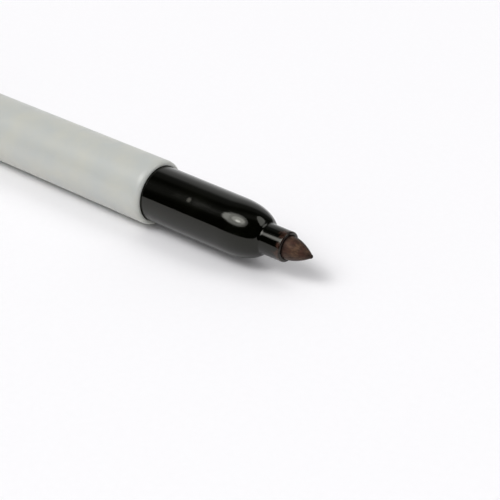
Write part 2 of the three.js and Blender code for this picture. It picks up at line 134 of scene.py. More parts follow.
def quarter(start: Point, end: Point, steps: int, leave: float = 2.0, arrive: float = 2.0) -> np.ndarray:
    """Points of a quarter of a superellipse between two (station, radius) points.

    With a turn from nothing to a right angle, the station goes by its sine to the power of 2 over the first
    fullness, and the radius by its cosine to the power of 2 over the second, so the curve leaves the first
    point level.

    Args:
        start: First point.
        end: Last point.
        steps: Number of steps between them.
        leave: Fullness at the start: 2 for an ellipse, more for a curve that stays level longer.
        arrive: Fullness at the end: 2 for an ellipse, less for a curve that comes in at more of a slant.

    Returns:
        Array of steps + 1 points.
    """
    turn = np.linspace(0.0, math.pi / 2, steps + 1)
    stations = start[0] + (end[0] - start[0]) * np.sin(turn) ** (2.0 / leave)
    radii = end[1] + (start[1] - end[1]) * np.abs(np.cos(turn)) ** (2.0 / arrive)
    return np.column_stack([stations, radii])


def ease(start: Point, end: Point, steps: int) -> np.ndarray:
    """Points of a smooth S, level at both ends: the radius goes by half of 1 minus a cosine.

    Args:
        start: First point.
        end: Last point.
        steps: Number of steps between them.

    Returns:
        Array of steps + 1 points.
    """
    share = np.linspace(0.0, 1.0, steps + 1)
    eased = (1.0 - np.cos(share * math.pi)) / 2
    return np.column_stack([start[0] + (end[0] - start[0]) * share, start[1] + (end[1] - start[1]) * eased])


def bend(start: Point, pull: Point, end: Point, steps: int = 12) -> np.ndarray:
    """Points of a parabola from start to end, pulled towards a third point: the squares of a Bezier blend.

    Args:
        start: First point.
        pull: Point that both end directions aim at.
        end: Last point.
        steps: Number of steps between them.

    Returns:
        Array of steps + 1 points.
    """
    share = np.linspace(0.0, 1.0, steps + 1)[:, None]
    ends = np.asarray(start) * (1 - share) ** 2 + np.asarray(end) * share**2
    return ends + np.asarray(pull) * 2 * share * (1 - share)


def outline_of(*runs: Sequence) -> np.ndarray:
    """One outline from points and runs of points, in order."""
    return np.vstack([np.atleast_2d(np.asarray(run, float)) for run in runs])


def soften(outline: np.ndarray, size: float, closed: bool) -> np.ndarray:
    """Rounds an outline's corners.

    Each corner that turns by more than CORNER_TURN is replaced by a parabola that leaves one side and joins
    the other at the same distance from the corner: the size, or CORNER_REACH of the shorter side if less.

    Args:
        outline: Points of the outline.
        size: Distance from the corner at which rounding starts.
        closed: Whether the last point joins the first.

    Returns:
        The rounded outline.
    """
    back = np.roll(outline, 1, axis=0) - outline
    ahead = np.roll(outline, -1, axis=0) - outline
    back_length = np.linalg.norm(back, axis=1, keepdims=True)
    ahead_length = np.linalg.norm(ahead, axis=1, keepdims=True)
    back, ahead = back / back_length, ahead / ahead_length
    turn = math.pi - np.arccos(np.clip((back * ahead).sum(1), -1, 1))
    corner = turn > CORNER_TURN
    if not closed:
        corner[[0, -1]] = False
    reach = np.minimum(size, CORNER_REACH * np.minimum(back_length, ahead_length)) * corner[:, None]
    share = np.linspace(0.0, 1.0, CORNER_STEPS + 1)[None, :, None]
    pull = back[:, None] * (1 - share) ** 2 + ahead[:, None] * share**2
    points = (outline[:, None] + reach[:, None] * pull).reshape(-1, 2)
    steps = np.linalg.norm(np.diff(points, axis=0, prepend=points[-1:] + 1), axis=1)
    return points[steps > 1e-6]


def resampled(outline: np.ndarray, spacing: float, closed: bool) -> np.ndarray:
    """Adds points along an outline's long sides, by straight interpolation over its running length.

    Args:
        outline: Points of the outline.
        spacing: Longest step wanted.
        closed: Whether the last point joins the first.

    Returns:
        The outline with its own points and the added ones.
    """
    ring = np.vstack([outline, outline[:1]]) if closed else outline
    run = running_length(ring)
    grid = np.arange(spacing, run[-1], spacing)
    nearest = np.clip(np.searchsorted(run, grid), 1, len(run) - 1)
    apart = np.minimum(np.abs(grid - run[nearest - 1]), np.abs(run[nearest] - grid))
    places = np.sort(np.concatenate([run, grid[apart > spacing / 4]]))
    added = np.column_stack([np.interp(places, run, ring[:, 0]), np.interp(places, run, ring[:, 1])])
    return added[:-1] if closed else added


def running_length(points: np.ndarray) -> np.ndarray:
    """Length along a run of points, from nothing at the first."""
    return np.concatenate([[0.0], np.cumsum(np.linalg.norm(np.diff(points, axis=0), axis=1))])


@dataclass(frozen=True)
class Seat:
    """A point on the marker's axis that stations are counted from, and the way along X that they run."""

    x: float
    y: float
    z: float
    direction: int = 1

    def place(self, stations: np.ndarray, radii: np.ndarray, angles: np.ndarray) -> np.ndarray:
        """Points in metres: the station along X, and the radius times cosine and sine along Y and Z.

        Args:
            stations: Stations along the axis.
            radii: Distances from it.
            angles: Angles round it, from +Y towards +Z.

        Returns:
            Array of points, with their coordinates last.
        """
        x = self.x + self.direction * stations + 0 * angles
        y = self.y + radii * np.cos(angles)
        z = self.z + radii * np.sin(angles)
        return np.stack([x, y, z], axis=-1) * MM


def cell_corners(grid: np.ndarray) -> np.ndarray:
    """The four corners of each cell of a grid, in order round it."""
    return np.stack([grid[:-1, :-1], grid[1:, :-1], grid[1:, 1:], grid[:-1, 1:]], axis=2)


def skin(name: str, points: np.ndarray, run: np.ndarray, closed: bool) -> bpy.types.Object:
    """Makes a closed mesh from a grid of points whose rows are rings.

    Neighbouring rings are joined by quads. A closed grid joins its last ring to its first. On an open one,
    the first and last rings are each drawn together to their middle point, and triangles fan out from it.
    The sum of every triangle's triple product is six times the volume. If it is below nothing, the faces
    are turned round.

    Args:
        name: The piece's name.
        points: Rows by columns by 3, in metres.
        run: Running length along the rows, used for the V of the UV map.
        closed: Whether the last row joins the first.

    Returns:
        The new object, linked to the scene.
    """
    rows, columns = points.shape[:2]
    index = np.arange(rows * columns).reshape(rows, columns)
    if closed:
        vertices = points.reshape(-1, 3)
        index, run = np.vstack([index, index[:1]]), np.append(run, run[-1] + run[1])
    else:
        vertices = np.vstack([points[0].mean(0), points[1:-1].reshape(-1, 3), points[-1].mean(0)])
        index = np.clip(index - columns + 1, 0, len(vertices) - 1)
    faces = cell_corners(np.hstack([index, index[:, :1]]))
    uv = cell_corners(np.dstack(np.meshgrid(np.arange(columns + 1) / columns, run)))
    fans, fan_uv = np.empty((0, 3), int), np.empty((0, 3, 2))
    if not closed:
        fans = np.vstack([faces[0][:, [0, 1, 2]], faces[-1][:, [0, 1, 3]]])
        fan_uv = np.vstack([uv[0][:, [0, 1, 2]], uv[-1][:, [0, 1, 3]]])
        fan_uv[:columns, 0, 0] += 0.5 / columns
        fan_uv[columns:, 1, 0] += 0.5 / columns
        faces, uv = faces[1:-1], uv[1:-1]
    quads, quad_uv = faces.reshape(-1, 4), uv.reshape(-1, 4, 2)
    triangles = np.vstack([quads[:, [0, 1, 2]], quads[:, [0, 2, 3]], fans])
    a, b, c = (vertices[triangles[:, corner]] for corner in range(3))
    if (a * np.cross(b, c)).sum() < 0:
        quads, quad_uv, fans, fan_uv = (part[:, ::-1] for part in (quads, quad_uv, fans, fan_uv))
    mesh = bpy.data.meshes.new(name)
    mesh.from_pydata(vertices.tolist(), [], quads.tolist() + fans.tolist())
    layer = mesh.uv_layers.new(name="UVMap")
    corner_uv = np.vstack([quad_uv.reshape(-1, 2), fan_uv.reshape(-1, 2)])
    layer.data.foreach_set("uv", corner_uv.astype(np.float32).ravel())
    mesh.shade_smooth()
    return linked(name, mesh)


def linked(name: str, data: bpy.types.ID) -> bpy.types.Object:
    """Makes an object of a mesh, lamp or camera and links it to the scene.

    Args:
        name: The object's name.
        data: What it shows.

    Returns:
        The new object.
    """
    made = bpy.data.objects.new(name, data)
    bpy.context.scene.collection.objects.link(made)
    return made


@dataclass(frozen=True)
class Turning:
    """How an outline is turned: its corners' rounding, its longest step and the number of angles."""

    edge: float
    spacing: float
    steps: int = ROUND_STEPS


SEAL_TURNING = Turning(0.08, 0.6, SLIM_ROUND_STEPS)


def revolve(
    name: str, seat: Seat, outline: np.ndarray, turning: Turning, relief: Relief | None = None
) -> bpy.types.Object:
    """Turns an outline of (station, radius) points about the marker's axis.

    Every outline point is repeated at every angle, at its radius plus the relief there. An outline that
    starts on the axis is open and ends there too. Any other goes round a tube's wall and closes on itself.

    Args:
        name: The piece's name.
        seat: Where the outline's stations are counted from.
        outline: The outline, in millimetres.
        turning: How it is turned.
        relief: Height added to the radius, from the stations, radii and angles.

    Returns:
        The new piece.
    """
    closed = bool(outline[0, 1] > 0)
    points = resampled(soften(outline, turning.edge, closed), turning.spacing, closed)
    stations, radii = points[:, :1], points[:, 1:]
    angles = (np.arange(turning.steps) * 2 * math.pi / turning.steps)[None, :]
    height = relief(stations, radii, angles) if relief else 0.0
    return skin(name, seat.place(stations, radii + height, angles), running_length(points) * MM, closed)


def wrapped(angles: np.ndarray) -> np.ndarray:
    """Angles brought between minus and plus half a turn."""
    return (angles + math.pi) % (2 * math.pi) - math.pi


def bars(angles: np.ndarray, count: int, half: float, radius: float) -> np.ndarray:
    """One on evenly spaced bars round the axis and nothing between them, with a short slope at each side.

    Args:
        angles: Angles round the axis.
        count: Number of bars, the first at angle 0.
        half: Half of a bar's width.
        radius: Radius at which the width is measured.

    Returns:
        Share of the bar's height at each angle.
    """
    across = np.abs(wrapped(angles * count)) / count * radius
    return np.clip((half - across) / BAR_SLOPE + 0.5, 0, 1)


def snap_ring(radius: float, spread: float) -> np.ndarray:
    """Corners of the snap ring behind the rim, or of its groove.

    Args:
        radius: Radius of the wall that it stands on.
        spread: What it is wider by at each side.

    Returns:
        Array of points, from the rim's side back.
    """
    half, high = SNAP_HALF_WIDTH + spread, radius + SNAP_HEIGHT
    ring = np.array([[half, radius], [half / 2, high], [-half / 2, high], [-half, radius]])
    return ring - [SNAP_STATION, 0]


def chamfered_mouth(station: float, bore: float, outer: float) -> np.ndarray:
    """Corners round a tube's chamfered mouth.

    Args:
        station: Station of the mouth.
        bore: The tube's inner radius.
        outer: Its outer radius.

    Returns:
        Array of points, from the bore to the outside.
    """
    back = station + CHAMFER
    return np.array([[back, bore], [station, bore + CHAMFER], [station, outer - CHAMFER], [back, outer]])


def seal_tube(mouth: float, end: float, wall: float, outer: float) -> np.ndarray:
    """Open outline of a cap's inner seal: a soft tube with a closed end.

    Args:
        mouth: Station of its mouth.
        end: Station of its closed end.
        wall: Thickness of its wall.
        outer: Its outer radius.

    Returns:
        Array of points, from the inside of the closed end round the mouth to the outside.
    """
    depth, bore = end - SEAL_END_WALL, outer - wall
    inside = outline_of((depth, 0), (depth, bore))
    return outline_of(inside, chamfered_mouth(mouth, bore, outer), (end, outer), (end, 0))


def seal_socket(depth: float, seal_radius: float, wall_radius: float) -> np.ndarray:
    """Corners of the ring that holds a seal inside a cap's closed end.

    Args:
        depth: Station of the inside of the closed end.
        seal_radius: Outer radius of the seal.
        wall_radius: Radius of the cap's wall there.

    Returns:
        Array of points, from the seal's edge to the cap's wall.
    """
    bore, mouth = seal_radius + PRESS_FIT, depth - SOCKET_DEPTH
    ring = [(depth, bore), (mouth, bore), (mouth, bore + SOCKET_WALL), (depth, bore + SOCKET_WALL)]
    return outline_of(ring, (depth, wall_radius - CHAMFER), (depth - CHAMFER, wall_radius))


def closed_end(length: float, radius: float, edge: float, gate: tuple[float, float, float]) -> np.ndarray:
    """Outline over a cap's closed end: a rounded edge, a flat face and the mould's shallow gate mark.

    Args:
        length: Station of the flat face.
        radius: The cap's radius before the edge.
        edge: Radius of the rounded edge.
        gate: Outer radius, floor's radius and depth of the mark.

    Returns:
        Array of points, from the cap's side to the axis.
    """
    around = quarter((length - edge, radius), (length, radius - edge), 14)
    return outline_of(around, (length, gate[0]), (length - gate[2], gate[1]), (length - gate[2], 0))


def grey(level: float) -> Colour:
    """A grey of one level."""
    return (level, level, level)


def tinted(colour: Colour, tint: Colour) -> Colour:
    """A colour times a tint, part by part."""
    return tuple(part * factor for part, factor in zip(colour, tint))


class Graph:
    """A node tree, with a short method for each kind of node that the finishes and the surround use."""

    def __init__(self, tree: bpy.types.NodeTree) -> None:
        """Empties the tree that the nodes go into."""
        self.tree = tree
        tree.nodes.clear()

    def put(self, socket: Socket, value: object) -> None:
        """Links an input to another node, or sets its value.

        Args:
            socket: The input.
            value: An output, a number, or a colour or vector as a tuple.
        """
        if isinstance(value, Socket):
            self.tree.links.new(value, socket)
        else:
            socket.default_value = (*value, 1.0) if socket.type == "RGBA" else value

    def add(self, kind: str, inputs: dict | None = None, **settings: object) -> bpy.types.Node:
        """Adds a node.

        Args:
            kind: The node's type.
            inputs: Value or socket for each input, by name or number.
            **settings: Attributes of the node.

        Returns:
            The node.
        """
        node = self.tree.nodes.new(kind)
        for key, value in settings.items():
            setattr(node, key, value)
        for key, value in (inputs or {}).items():
            self.put(node.inputs[key], value)
        return node

    def maths(self, sum_of: Maths, first: object, *others: object) -> Socket:
        """One sum over two or more values, taken in one after another.

        Args:
            sum_of: The sum.
            first: Number or socket that it starts from.
            *others: Numbers or sockets.

        Returns:
            The result.
        """
        for other in others:
            first = self.add("ShaderNodeMath", {0: first, 1: other}, operation=sum_of.value).outputs[0]
        return first

    def spread(self, value: Socket, low: float, high: float, to_low: float, to_high: float) -> Socket:
        """A value's stretch from low to high, mapped to another stretch and clamped to it."""
        inputs = {"Value": value, "From Min": low, "From Max": high, "To Min": to_low, "To Max": to_high}
        return self.add("ShaderNodeMapRange", inputs).outputs["Result"]

    def ramp(self, value: Socket, stops: Sequence[tuple[float, Colour]]) -> Socket:
        """Colour from a value by a ramp.

        Args:
            value: The value.
            stops: Place and colour of each stop.

        Returns:
            The colour.
        """
        node = self.add("ShaderNodeValToRGB", {"Fac": value})
        elements = node.color_ramp.elements
        while len(elements) < len(stops):
            elements.new(0.5)
        for element, (place, colour) in zip(elements, stops):
            element.position = place
            element.color = (*colour, 1.0)
        return node.outputs["Color"]

    def mix(self, factor: object, first: object, second: object) -> Socket:
        """Blend of two colours by a factor. Inputs 6 and 7 of a Mix node are its colours."""
        inputs = {"Factor": factor, 6: first, 7: second}
        return self.add("ShaderNodeMix", inputs, data_type="RGBA").outputs[2]


class Surface(Graph):
    """A material's node tree: a Principled surface with patterns on the object's coordinates."""

    def __init__(self, name: str) -> None:
        """Starts a material.

        Args:
            name: The material's name.
        """
        self.material = bpy.data.materials.new(name)
        self.material.use_nodes = True
        super().__init__(self.material.node_tree)
        self.shader = self.add("ShaderNodeBsdfPrincipled")
        self.add("ShaderNodeOutputMaterial", {"Surface": self.shader.outputs["BSDF"]})
        self.coordinates = self.add("ShaderNodeTexCoord").outputs["Object"]

    def set(self, **values: object) -> None:
        """Sets the shader's inputs: underscores in a name stand for spaces."""
        for key, value in values.items():
            self.put(self.shader.inputs[key.replace("_", " ")], value)

    def axis(self, name: str) -> Socket:
        """One of the object coordinates, X, Y or Z, in metres."""
        return self.add("ShaderNodeSeparateXYZ", {"Vector": self.coordinates}).outputs[name]

    def noise(self, scale: float, detail: float, rough: float = 0.5, where: Socket | None = None) -> Socket:
        """Value of a noise pattern with features of about 1 / scale metres, between about 0.3 and 0.7."""
        inputs = {"Vector": where or self.coordinates, "Scale": scale, "Detail": detail, "Roughness": rough}
        return self.add("ShaderNodeTexNoise", inputs).outputs["Fac"]

    def strands(self, scales: Point, detail: float, rough: float = 0.5) -> Socket:
        """Value of a noise drawn out along the marker, from its scales along and across it."""
        inputs = {"Vector": self.coordinates, "Scale": (scales[0], scales[1], scales[1])}
        return self.noise(1.0, detail, rough, self.add("ShaderNodeMapping", inputs).outputs["Vector"])

    def specks(self, scale: float) -> Socket:
        """Distance to the nearest of scattered points, about 1 / scale metres apart."""
        inputs = {"Vector": self.coordinates, "Scale": scale}
        return self.add("ShaderNodeTexVoronoi", inputs).outputs["Distance"]

    def bump(self, height: Socket, depth: float, under: Socket | None = None) -> Socket:
        """Normal bent by a height pattern.

        Args:
            height: The pattern.
            depth: Its depth, in millimetres.
            under: Another normal that it lies over.

        Returns:
            The normal.
        """
        inputs = {"Height": height, "Distance": depth * MM, "Strength": 1.0}
        if under:
            inputs["Normal"] = under
        return self.add("ShaderNodeBump", inputs).outputs["Normal"]


@dataclass(frozen=True)
class SatinGrey:
    """Light warm grey moulded plastic with a satin skin, faint flow streaks and a few scuffs.

    In this and the other finishes, a pattern's scale counts features per metre, and depths are millimetres.
    """

    colour: Colour = (0.515, 0.522, 0.487)
    warm: Colour = (1.03, 1.02, 0.99)
    cool: Colour = (0.95, 0.97, 1.0)
    scuffed: Colour = grey(0.55)
    roughness: float = 0.34
    clouds: float = 160
    streaks: Point = (60, 900)
    scuffs: float = 420
    smudges: float = 700
    waves: float = 240
    wave_depth: float = 0.02
    grain: float = 5200
    grain_depth: float = 0.004

    def material(self) -> bpy.types.Material:
        """Clouds between a warm and a cool tint, streaks along the marker, dark scuffs and a fine grain.

        Returns:
            The material.
        """
        g = Surface("satin_grey_plastic")
        cool = tinted(self.colour, self.cool)
        tone = g.ramp(g.noise(self.clouds, 4), [(0.35, cool), (0.65, tinted(self.colour, self.warm))])
        tone = g.mix(g.spread(g.strands(self.streaks, 3), 0.5, 0.72, 0.0, 0.3), tone, cool)
        scuff = g.spread(g.specks(self.scuffs), 0.0, 0.05, 0.16, 0.0)
        smudge = g.noise(self.smudges, 5)
        grain = g.bump(g.noise(self.grain, 2), self.grain_depth)
        g.set(
            Base_Color=g.mix(scuff, tone, tinted(self.colour, self.scuffed)),
            Roughness=g.spread(smudge, 0.3, 0.7, self.roughness - 0.06, self.roughness + 0.08),
            Normal=g.bump(g.noise(self.waves, 2), self.wave_depth, grain),
            IOR=1.49,
            Specular_IOR_Level=0.5,
            Subsurface_Weight=0.1,
            Subsurface_Scale=0.0012,
            Subsurface_Radius=(1.0, 0.9, 0.75),
        )
        return g.material


@dataclass(frozen=True)
class PolishedBlack:
    """Polished black moulded plastic, slightly wavy, with smudges, hairline scratches and dust."""

    colour: Colour = (0.0008, 0.0009, 0.0004)
    smudged: Colour = grey(2.5)
    sheen: Colour = (1.0, 1.0, 0.91)
    dust: Colour = (0.05, 0.048, 0.04)
    ink: Colour = (0.036, 0.014, 0.008)
    wet: Colour = (0.008, 0.004, 0.003)
    roughness: float = 0.06
    smudges: float = 150
    hairs: Point = (120, 5200)
    hair_depth: float = 0.0015
    specks: float = 260
    waves: float = 170
    wave_depth: float = 0.02
    ink_reach: float = 2.0
    blots: float = 1100

    def coat(self, g: Surface) -> tuple[Socket, Socket]:
        """Sets the clean surface up.

        Args:
            g: The graph that it goes into.

        Returns:
            Sockets of the base colour and the roughness.
        """
        smudge = g.noise(self.smudges, 5)
        scratch = g.spread(g.strands(self.hairs, 2), 0.62, 0.72, 0.0, 1.0)
        speck = g.spread(g.specks(self.specks), 0.018, 0.034, 1.0, 0.0)
        smudged = tinted(self.colour, self.smudged)
        tone = g.mix(g.spread(smudge, 0.5, 0.75, 0.0, 0.8), self.colour, smudged)
        base = g.spread(smudge, 0.42, 0.7, self.roughness, self.roughness + 0.06)
        scratched = g.maths(Maths.ADD, base, g.spread(scratch, 0.0, 1.0, 0.0, 0.05))
        waves = g.bump(g.noise(self.waves, 1), self.wave_depth)
        g.set(Normal=g.bump(scratch, self.hair_depth, waves), IOR=1.44, Specular_Tint=self.sheen)
        return g.mix(speck, tone, self.dust), g.maths(Maths.MAXIMUM, scratched, speck)

    def material(self) -> bpy.types.Material:
        """The clean material.

        Returns:
            The material.
        """
        g = Surface("polished_black_plastic")
        tone, rough = self.coat(g)
        g.set(Base_Color=tone, Roughness=rough)
        return g.material

    def stained(self, mouth: float, scuff: np.ndarray) -> bpy.types.Material:
        """The material with dried ink smeared near the nozzle's mouth, wet ink on its edge and one scuff.

        Args:
            mouth: Where the nozzle's mouth is along X, in millimetres.
            scuff: Where the scuff's middle is, in metres.

        Returns:
            The material.
        """
        g = Surface("polished_black_plastic_with_ink")
        tone, rough = self.coat(g)
        x = g.axis("X")
        near = g.spread(x, (mouth - self.ink_reach) * MM, (mouth - 0.3) * MM, 0.0, 1.0)
        blots = g.maths(Maths.ADD, g.noise(self.blots, 4), g.maths(Maths.MULTIPLY, near, 0.3))
        blots = g.spread(blots, 0.66, 0.84, 0.0, 1.0)
        smear = g.maths(Maths.MULTIPLY, blots, g.spread(near, 0.0, 0.25, 0.0, 1.0))
        waver = g.maths(Maths.MULTIPLY, g.noise(1300, 3), 0.4 * MM)
        uneven = g.maths(Maths.ADD, x, waver)
        wet = g.spread(uneven, (mouth - 0.2) * MM, (mouth + 0.1) * MM, 0.0, 1.0)
        apart = g.add("ShaderNodeVectorMath", {0: g.coordinates, 1: scuff}, operation="DISTANCE")
        away = g.maths(Maths.ADD, apart.outputs["Value"], waver)
        worn = g.spread(away, 0.45 * MM, 0.75 * MM, 0.6, 0.0)
        tone = g.mix(worn, g.mix(smear, tone, self.ink), self.dust)
        marked = g.maths(Maths.MAXIMUM, smear, wet, worn)
        rough = g.maths(Maths.ADD, rough, g.maths(Maths.MULTIPLY, marked, 0.2))
        g.set(Base_Color=g.mix(wet, tone, self.wet), Roughness=rough)
        return g.material


@dataclass(frozen=True)
class InkedFibre:
    """Bonded fibre soaked in ink: dark brown with a bronze sheen, nearly black at its root, where ink
    gathers and painted shade falls, darker towards its tip, and painted shade on its far side and underside.
    """

    colour: Colour = (0.052, 0.024, 0.016)
    bronze: Colour = (0.084, 0.046, 0.027)
    plum: Colour = (0.046, 0.016, 0.012)
    # Nearly black: the darkest fibres, and also the colour of the painted shade below.
    wet: Colour = (0.006, 0.0035, 0.004)
    sheen: Colour = (1.0, 0.72, 0.55)
    roughness: float = 0.5
    fibres: Point = (500, 4200)
    fibre_depth: float = 0.04
    patches: float = 620
    knots: float = 2600
    knot_depth: float = 0.03

    def material(self, root: float, tip: float, axis: Seat) -> bpy.types.Material:
        """The material, darker at its root from gathered ink and painted shade, towards its tip, and with
        painted shade on its far side and its underside.

        Args:
            root: Where the fibre comes out of its nozzle along X, in millimetres.
            tip: Where it ends along X, in millimetres.
            axis: A seat on its axis.

        Returns:
            The material.
        """
        g = Surface("inked_fibre")
        fibre = g.strands(self.fibres, 4, 0.65)
        patch = g.noise(self.patches, 3)
        tone = g.ramp(patch, [(0.36, self.plum), (0.5, self.colour), (0.62, self.bronze)])
        tone = g.mix(g.spread(fibre, 0.56, 0.40, 0.0, 0.6), tone, self.wet)
        waver = g.maths(Maths.MULTIPLY, g.maths(Maths.ADD, g.noise(1500, 2), -0.5), 0.9 * MM)
        x, y, z = (g.maths(Maths.ADD, g.axis(name), waver) for name in "XYZ")
        # Painted shade with some ink: nearly black at the root, where ink gathers and the nozzle's lip
        # shades the fibre, darker towards the tip, and painted shade on the far side (+Y) and the underside
        # (-Z).
        soaked = g.maths(
            Maths.MAXIMUM,
            g.spread(x, root * MM, (root + 0.7) * MM, 0.8, 0.0),
            g.spread(x, (tip - 1.3) * MM, (tip - 0.4) * MM, 0.0, 0.9),
            g.spread(y, (axis.y - 0.05) * MM, (axis.y + 0.75) * MM, 0.0, 0.9),
            g.spread(z, (axis.z - 0.7) * MM, (axis.z + 0.5) * MM, 0.55, 0.0),
        )
        knots = g.bump(g.noise(self.knots, 3), self.knot_depth)
        g.set(
            Base_Color=g.mix(soaked, tone, self.wet),
            Roughness=g.spread(fibre, 0.3, 0.7, self.roughness + 0.15, self.roughness - 0.1),
            Normal=g.bump(fibre, self.fibre_depth, knots),
            IOR=1.45,
            Specular_Tint=self.sheen,
        )
        return g.material


@dataclass(frozen=True)
class InkedPoint:
    """Extruded plastic point, stained black, with fine lengthwise channels."""

    colour: Colour = (0.012, 0.010, 0.012)
    worn: Colour = grey(4)
    roughness: float = 0.45
    channels: Point = (150, 9000)
    channel_depth: float = 0.01
    smudges: float = 1500

    def material(self) -> bpy.types.Material:
        """Channels that are worn paler, and smudges that dull the gloss.

        Returns:
            The material.
        """
        g = Surface("inked_plastic_point")
        channel = g.strands(self.channels, 2)
        smudge = g.noise(self.smudges, 3)
        worn = tinted(self.colour, self.worn)
        g.set(
            Base_Color=g.mix(g.spread(channel, 0.5, 0.75, 0.0, 1.0), self.colour, worn),
            Roughness=g.spread(smudge, 0.3, 0.7, self.roughness - 0.1, self.roughness + 0.15),
            Normal=g.bump(channel, self.channel_depth),
            IOR=1.48,
        )
        return g.material


@dataclass(frozen=True)
class WaxyNatural:
    """Soft natural polyethylene: milky, waxy, with cloudy thickness."""

    colour: Colour = (0.76, 0.745, 0.69)
    deeper: Colour = grey(0.86)
    roughness: float = 0.46
    clouds: float = 380
    grain: float = 1800
    grain_depth: float = 0.006

    def material(self) -> bpy.types.Material:
        """Clouds of a deeper shade, with light that goes some way in.

        Returns:
            The material.
        """
        g = Surface("waxy_natural_plastic")
        cloud = g.noise(self.clouds, 4)
        g.set(
            Base_Color=g.ramp(cloud, [(0.35, tinted(self.colour, self.deeper)), (0.65, self.colour)]),
            Roughness=g.spread(cloud, 0.3, 0.7, self.roughness + 0.08, self.roughness - 0.06),
            Normal=g.bump(g.noise(self.grain, 3), self.grain_depth),
            IOR=1.51,
            Subsurface_Weight=0.3,
            Subsurface_Scale=0.0015,
            Subsurface_Radius=(1.0, 0.85, 0.7),
        )
        return g.material


@dataclass(frozen=True)
class CrinkledFilm:
    """Thin clear film drawn tight round the reservoir, with lengthwise crinkles."""

    colour: Colour = (0.62, 0.64, 0.66)
    stained: Colour = (0.10, 0.09, 0.12)
    roughness: float = 0.16
    crinkles: Point = (90, 1400)
    crinkle_depth: float = 0.08

    def material(self) -> bpy.types.Material:
        """Crinkles, stained in their folds.

        Returns:
            The material.
        """
        g = Surface("reservoir_film")
        crinkle = g.strands(self.crinkles, 4, 0.6)
        g.set(
            Base_Color=g.ramp(crinkle, [(0.38, self.stained), (0.62, self.colour)]),
            Roughness=g.spread(crinkle, 0.3, 0.7, self.roughness, self.roughness + 0.2),
            Normal=g.bump(crinkle, self.crinkle_depth),
            IOR=1.5,
            Coat_Weight=0.4,
            Coat_Roughness=0.08,
        )
        return g.material


@dataclass(frozen=True)
class SoakedCore:
    """Bundle of fibres soaked in black ink."""

    colour: Colour = (0.010, 0.008, 0.014)
    dry: Colour = (0.09, 0.08, 0.10)
    roughness: float = 0.8
    strands: Point = (120, 3200)
    strand_depth: float = 0.2

    def material(self) -> bpy.types.Material:
        """Strands, some of them drier and paler.

        Returns:
            The material.
        """
        g = Surface("soaked_core")
        strand = g.strands(self.strands, 5, 0.7)
        g.set(
            Base_Color=g.ramp(strand, [(0.4, self.colour), (0.72, self.dry)]),
            Roughness=g.spread(strand, 0.3, 0.7, self.roughness - 0.2, self.roughness + 0.1),
            Normal=g.bump(strand, self.strand_depth),
            Sheen_Weight=0.1,
        )
        return g.material


@dataclass(frozen=True)
class WhitePaper:
    """Smooth white paper for the floor, with a faint grain."""

    colour: Colour = (0.94, 0.932, 0.95)
    dimmer: Colour = grey(0.992)
    grain: float = 900
    grain_depth: float = 0.008

    def material(self) -> bpy.types.Material:
        """A grain that shades and roughens the paper slightly.

        Returns:
            The material.
        """
        g = Surface("white_paper")
        grain = g.noise(self.grain, 4)
        g.set(
            Base_Color=g.ramp(grain, [(0.35, tinted(self.colour, self.dimmer)), (0.65, self.colour)]),
            Normal=g.bump(grain, self.grain_depth),
            Roughness=0.9,
            Specular_IOR_Level=0.0,
        )
        return g.material


def dress(piece: bpy.types.Object, material: bpy.types.Material) -> None:
    """Gives a piece, new or from the frame, one material."""
    piece.data.materials.clear()
    piece.data.materials.append(material)


def fit(piece: bpy.types.Object, body: Body, slot: Slot, material: bpy.types.Material, *nodes: str) -> None:
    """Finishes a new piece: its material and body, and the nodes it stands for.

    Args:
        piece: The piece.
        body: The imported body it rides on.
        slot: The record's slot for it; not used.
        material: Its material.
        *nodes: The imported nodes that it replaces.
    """
    dress(piece, material)
    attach(piece, body.value)
    if nodes:
        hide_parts(*nodes)
    faces = len(piece.data.polygons)
    log.info("%s: %d faces, rides on %s, for %s", piece.name, faces, body.value, nodes or "itself")


def ends(node: str) -> tuple[Vector, Vector]:
    """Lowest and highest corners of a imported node, in millimetres."""
    low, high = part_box(node)
    return low / MM, high / MM


@dataclass(frozen=True)
class Layout:
    """Seats and shared radii, in millimetres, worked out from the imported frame's boxes."""

    rim: Seat
    rear: Seat
    small_cap: Seat
    large_cap: Seat
    barrel_radius: float
    nozzle_end: float
    nib_tip: float
    fine_needle_end: float
    fine_nib_tip: float
    small_cap_length: float
    large_cap_length: float

    @classmethod
    def from_frame(cls) -> Layout:
        """Reads the layout from the frame: the axis is at the middle of the nib's box.

        Returns:
            The layout.
        """
        nib_low, nib_high = ends("bullet_nib")
        barrel_low, barrel_high = ends("barrel")
        small_low, small_high = ends("ultra_fine_cap")
        large_low, large_high = ends("bullet_cap")
        axis_y, axis_z = (nib_low.y + nib_high.y) / 2, (nib_low.z + nib_high.z) / 2
        return cls(
            rim=Seat(barrel_high.x, axis_y, axis_z),
            rear=Seat(barrel_low.x, axis_y, axis_z, -1),
            small_cap=Seat(small_high.x, axis_y, axis_z, -1),
            large_cap=Seat(large_high.x, axis_y, axis_z, -1),
            barrel_radius=(barrel_high.z - barrel_low.z) / 2 / math.cos(math.pi / CAD_FACETS),
            nozzle_end=ends("bullet_section")[1].x - barrel_high.x,
            nib_tip=nib_high.x - barrel_high.x,
            fine_needle_end=barrel_low.x - ends("ultra_fine_section")[0].x,
            fine_nib_tip=barrel_low.x - ends("ultra_fine_nib")[0].x,
            small_cap_length=small_high.x - small_low.x,
            large_cap_length=large_high.x - large_low.x,
        )


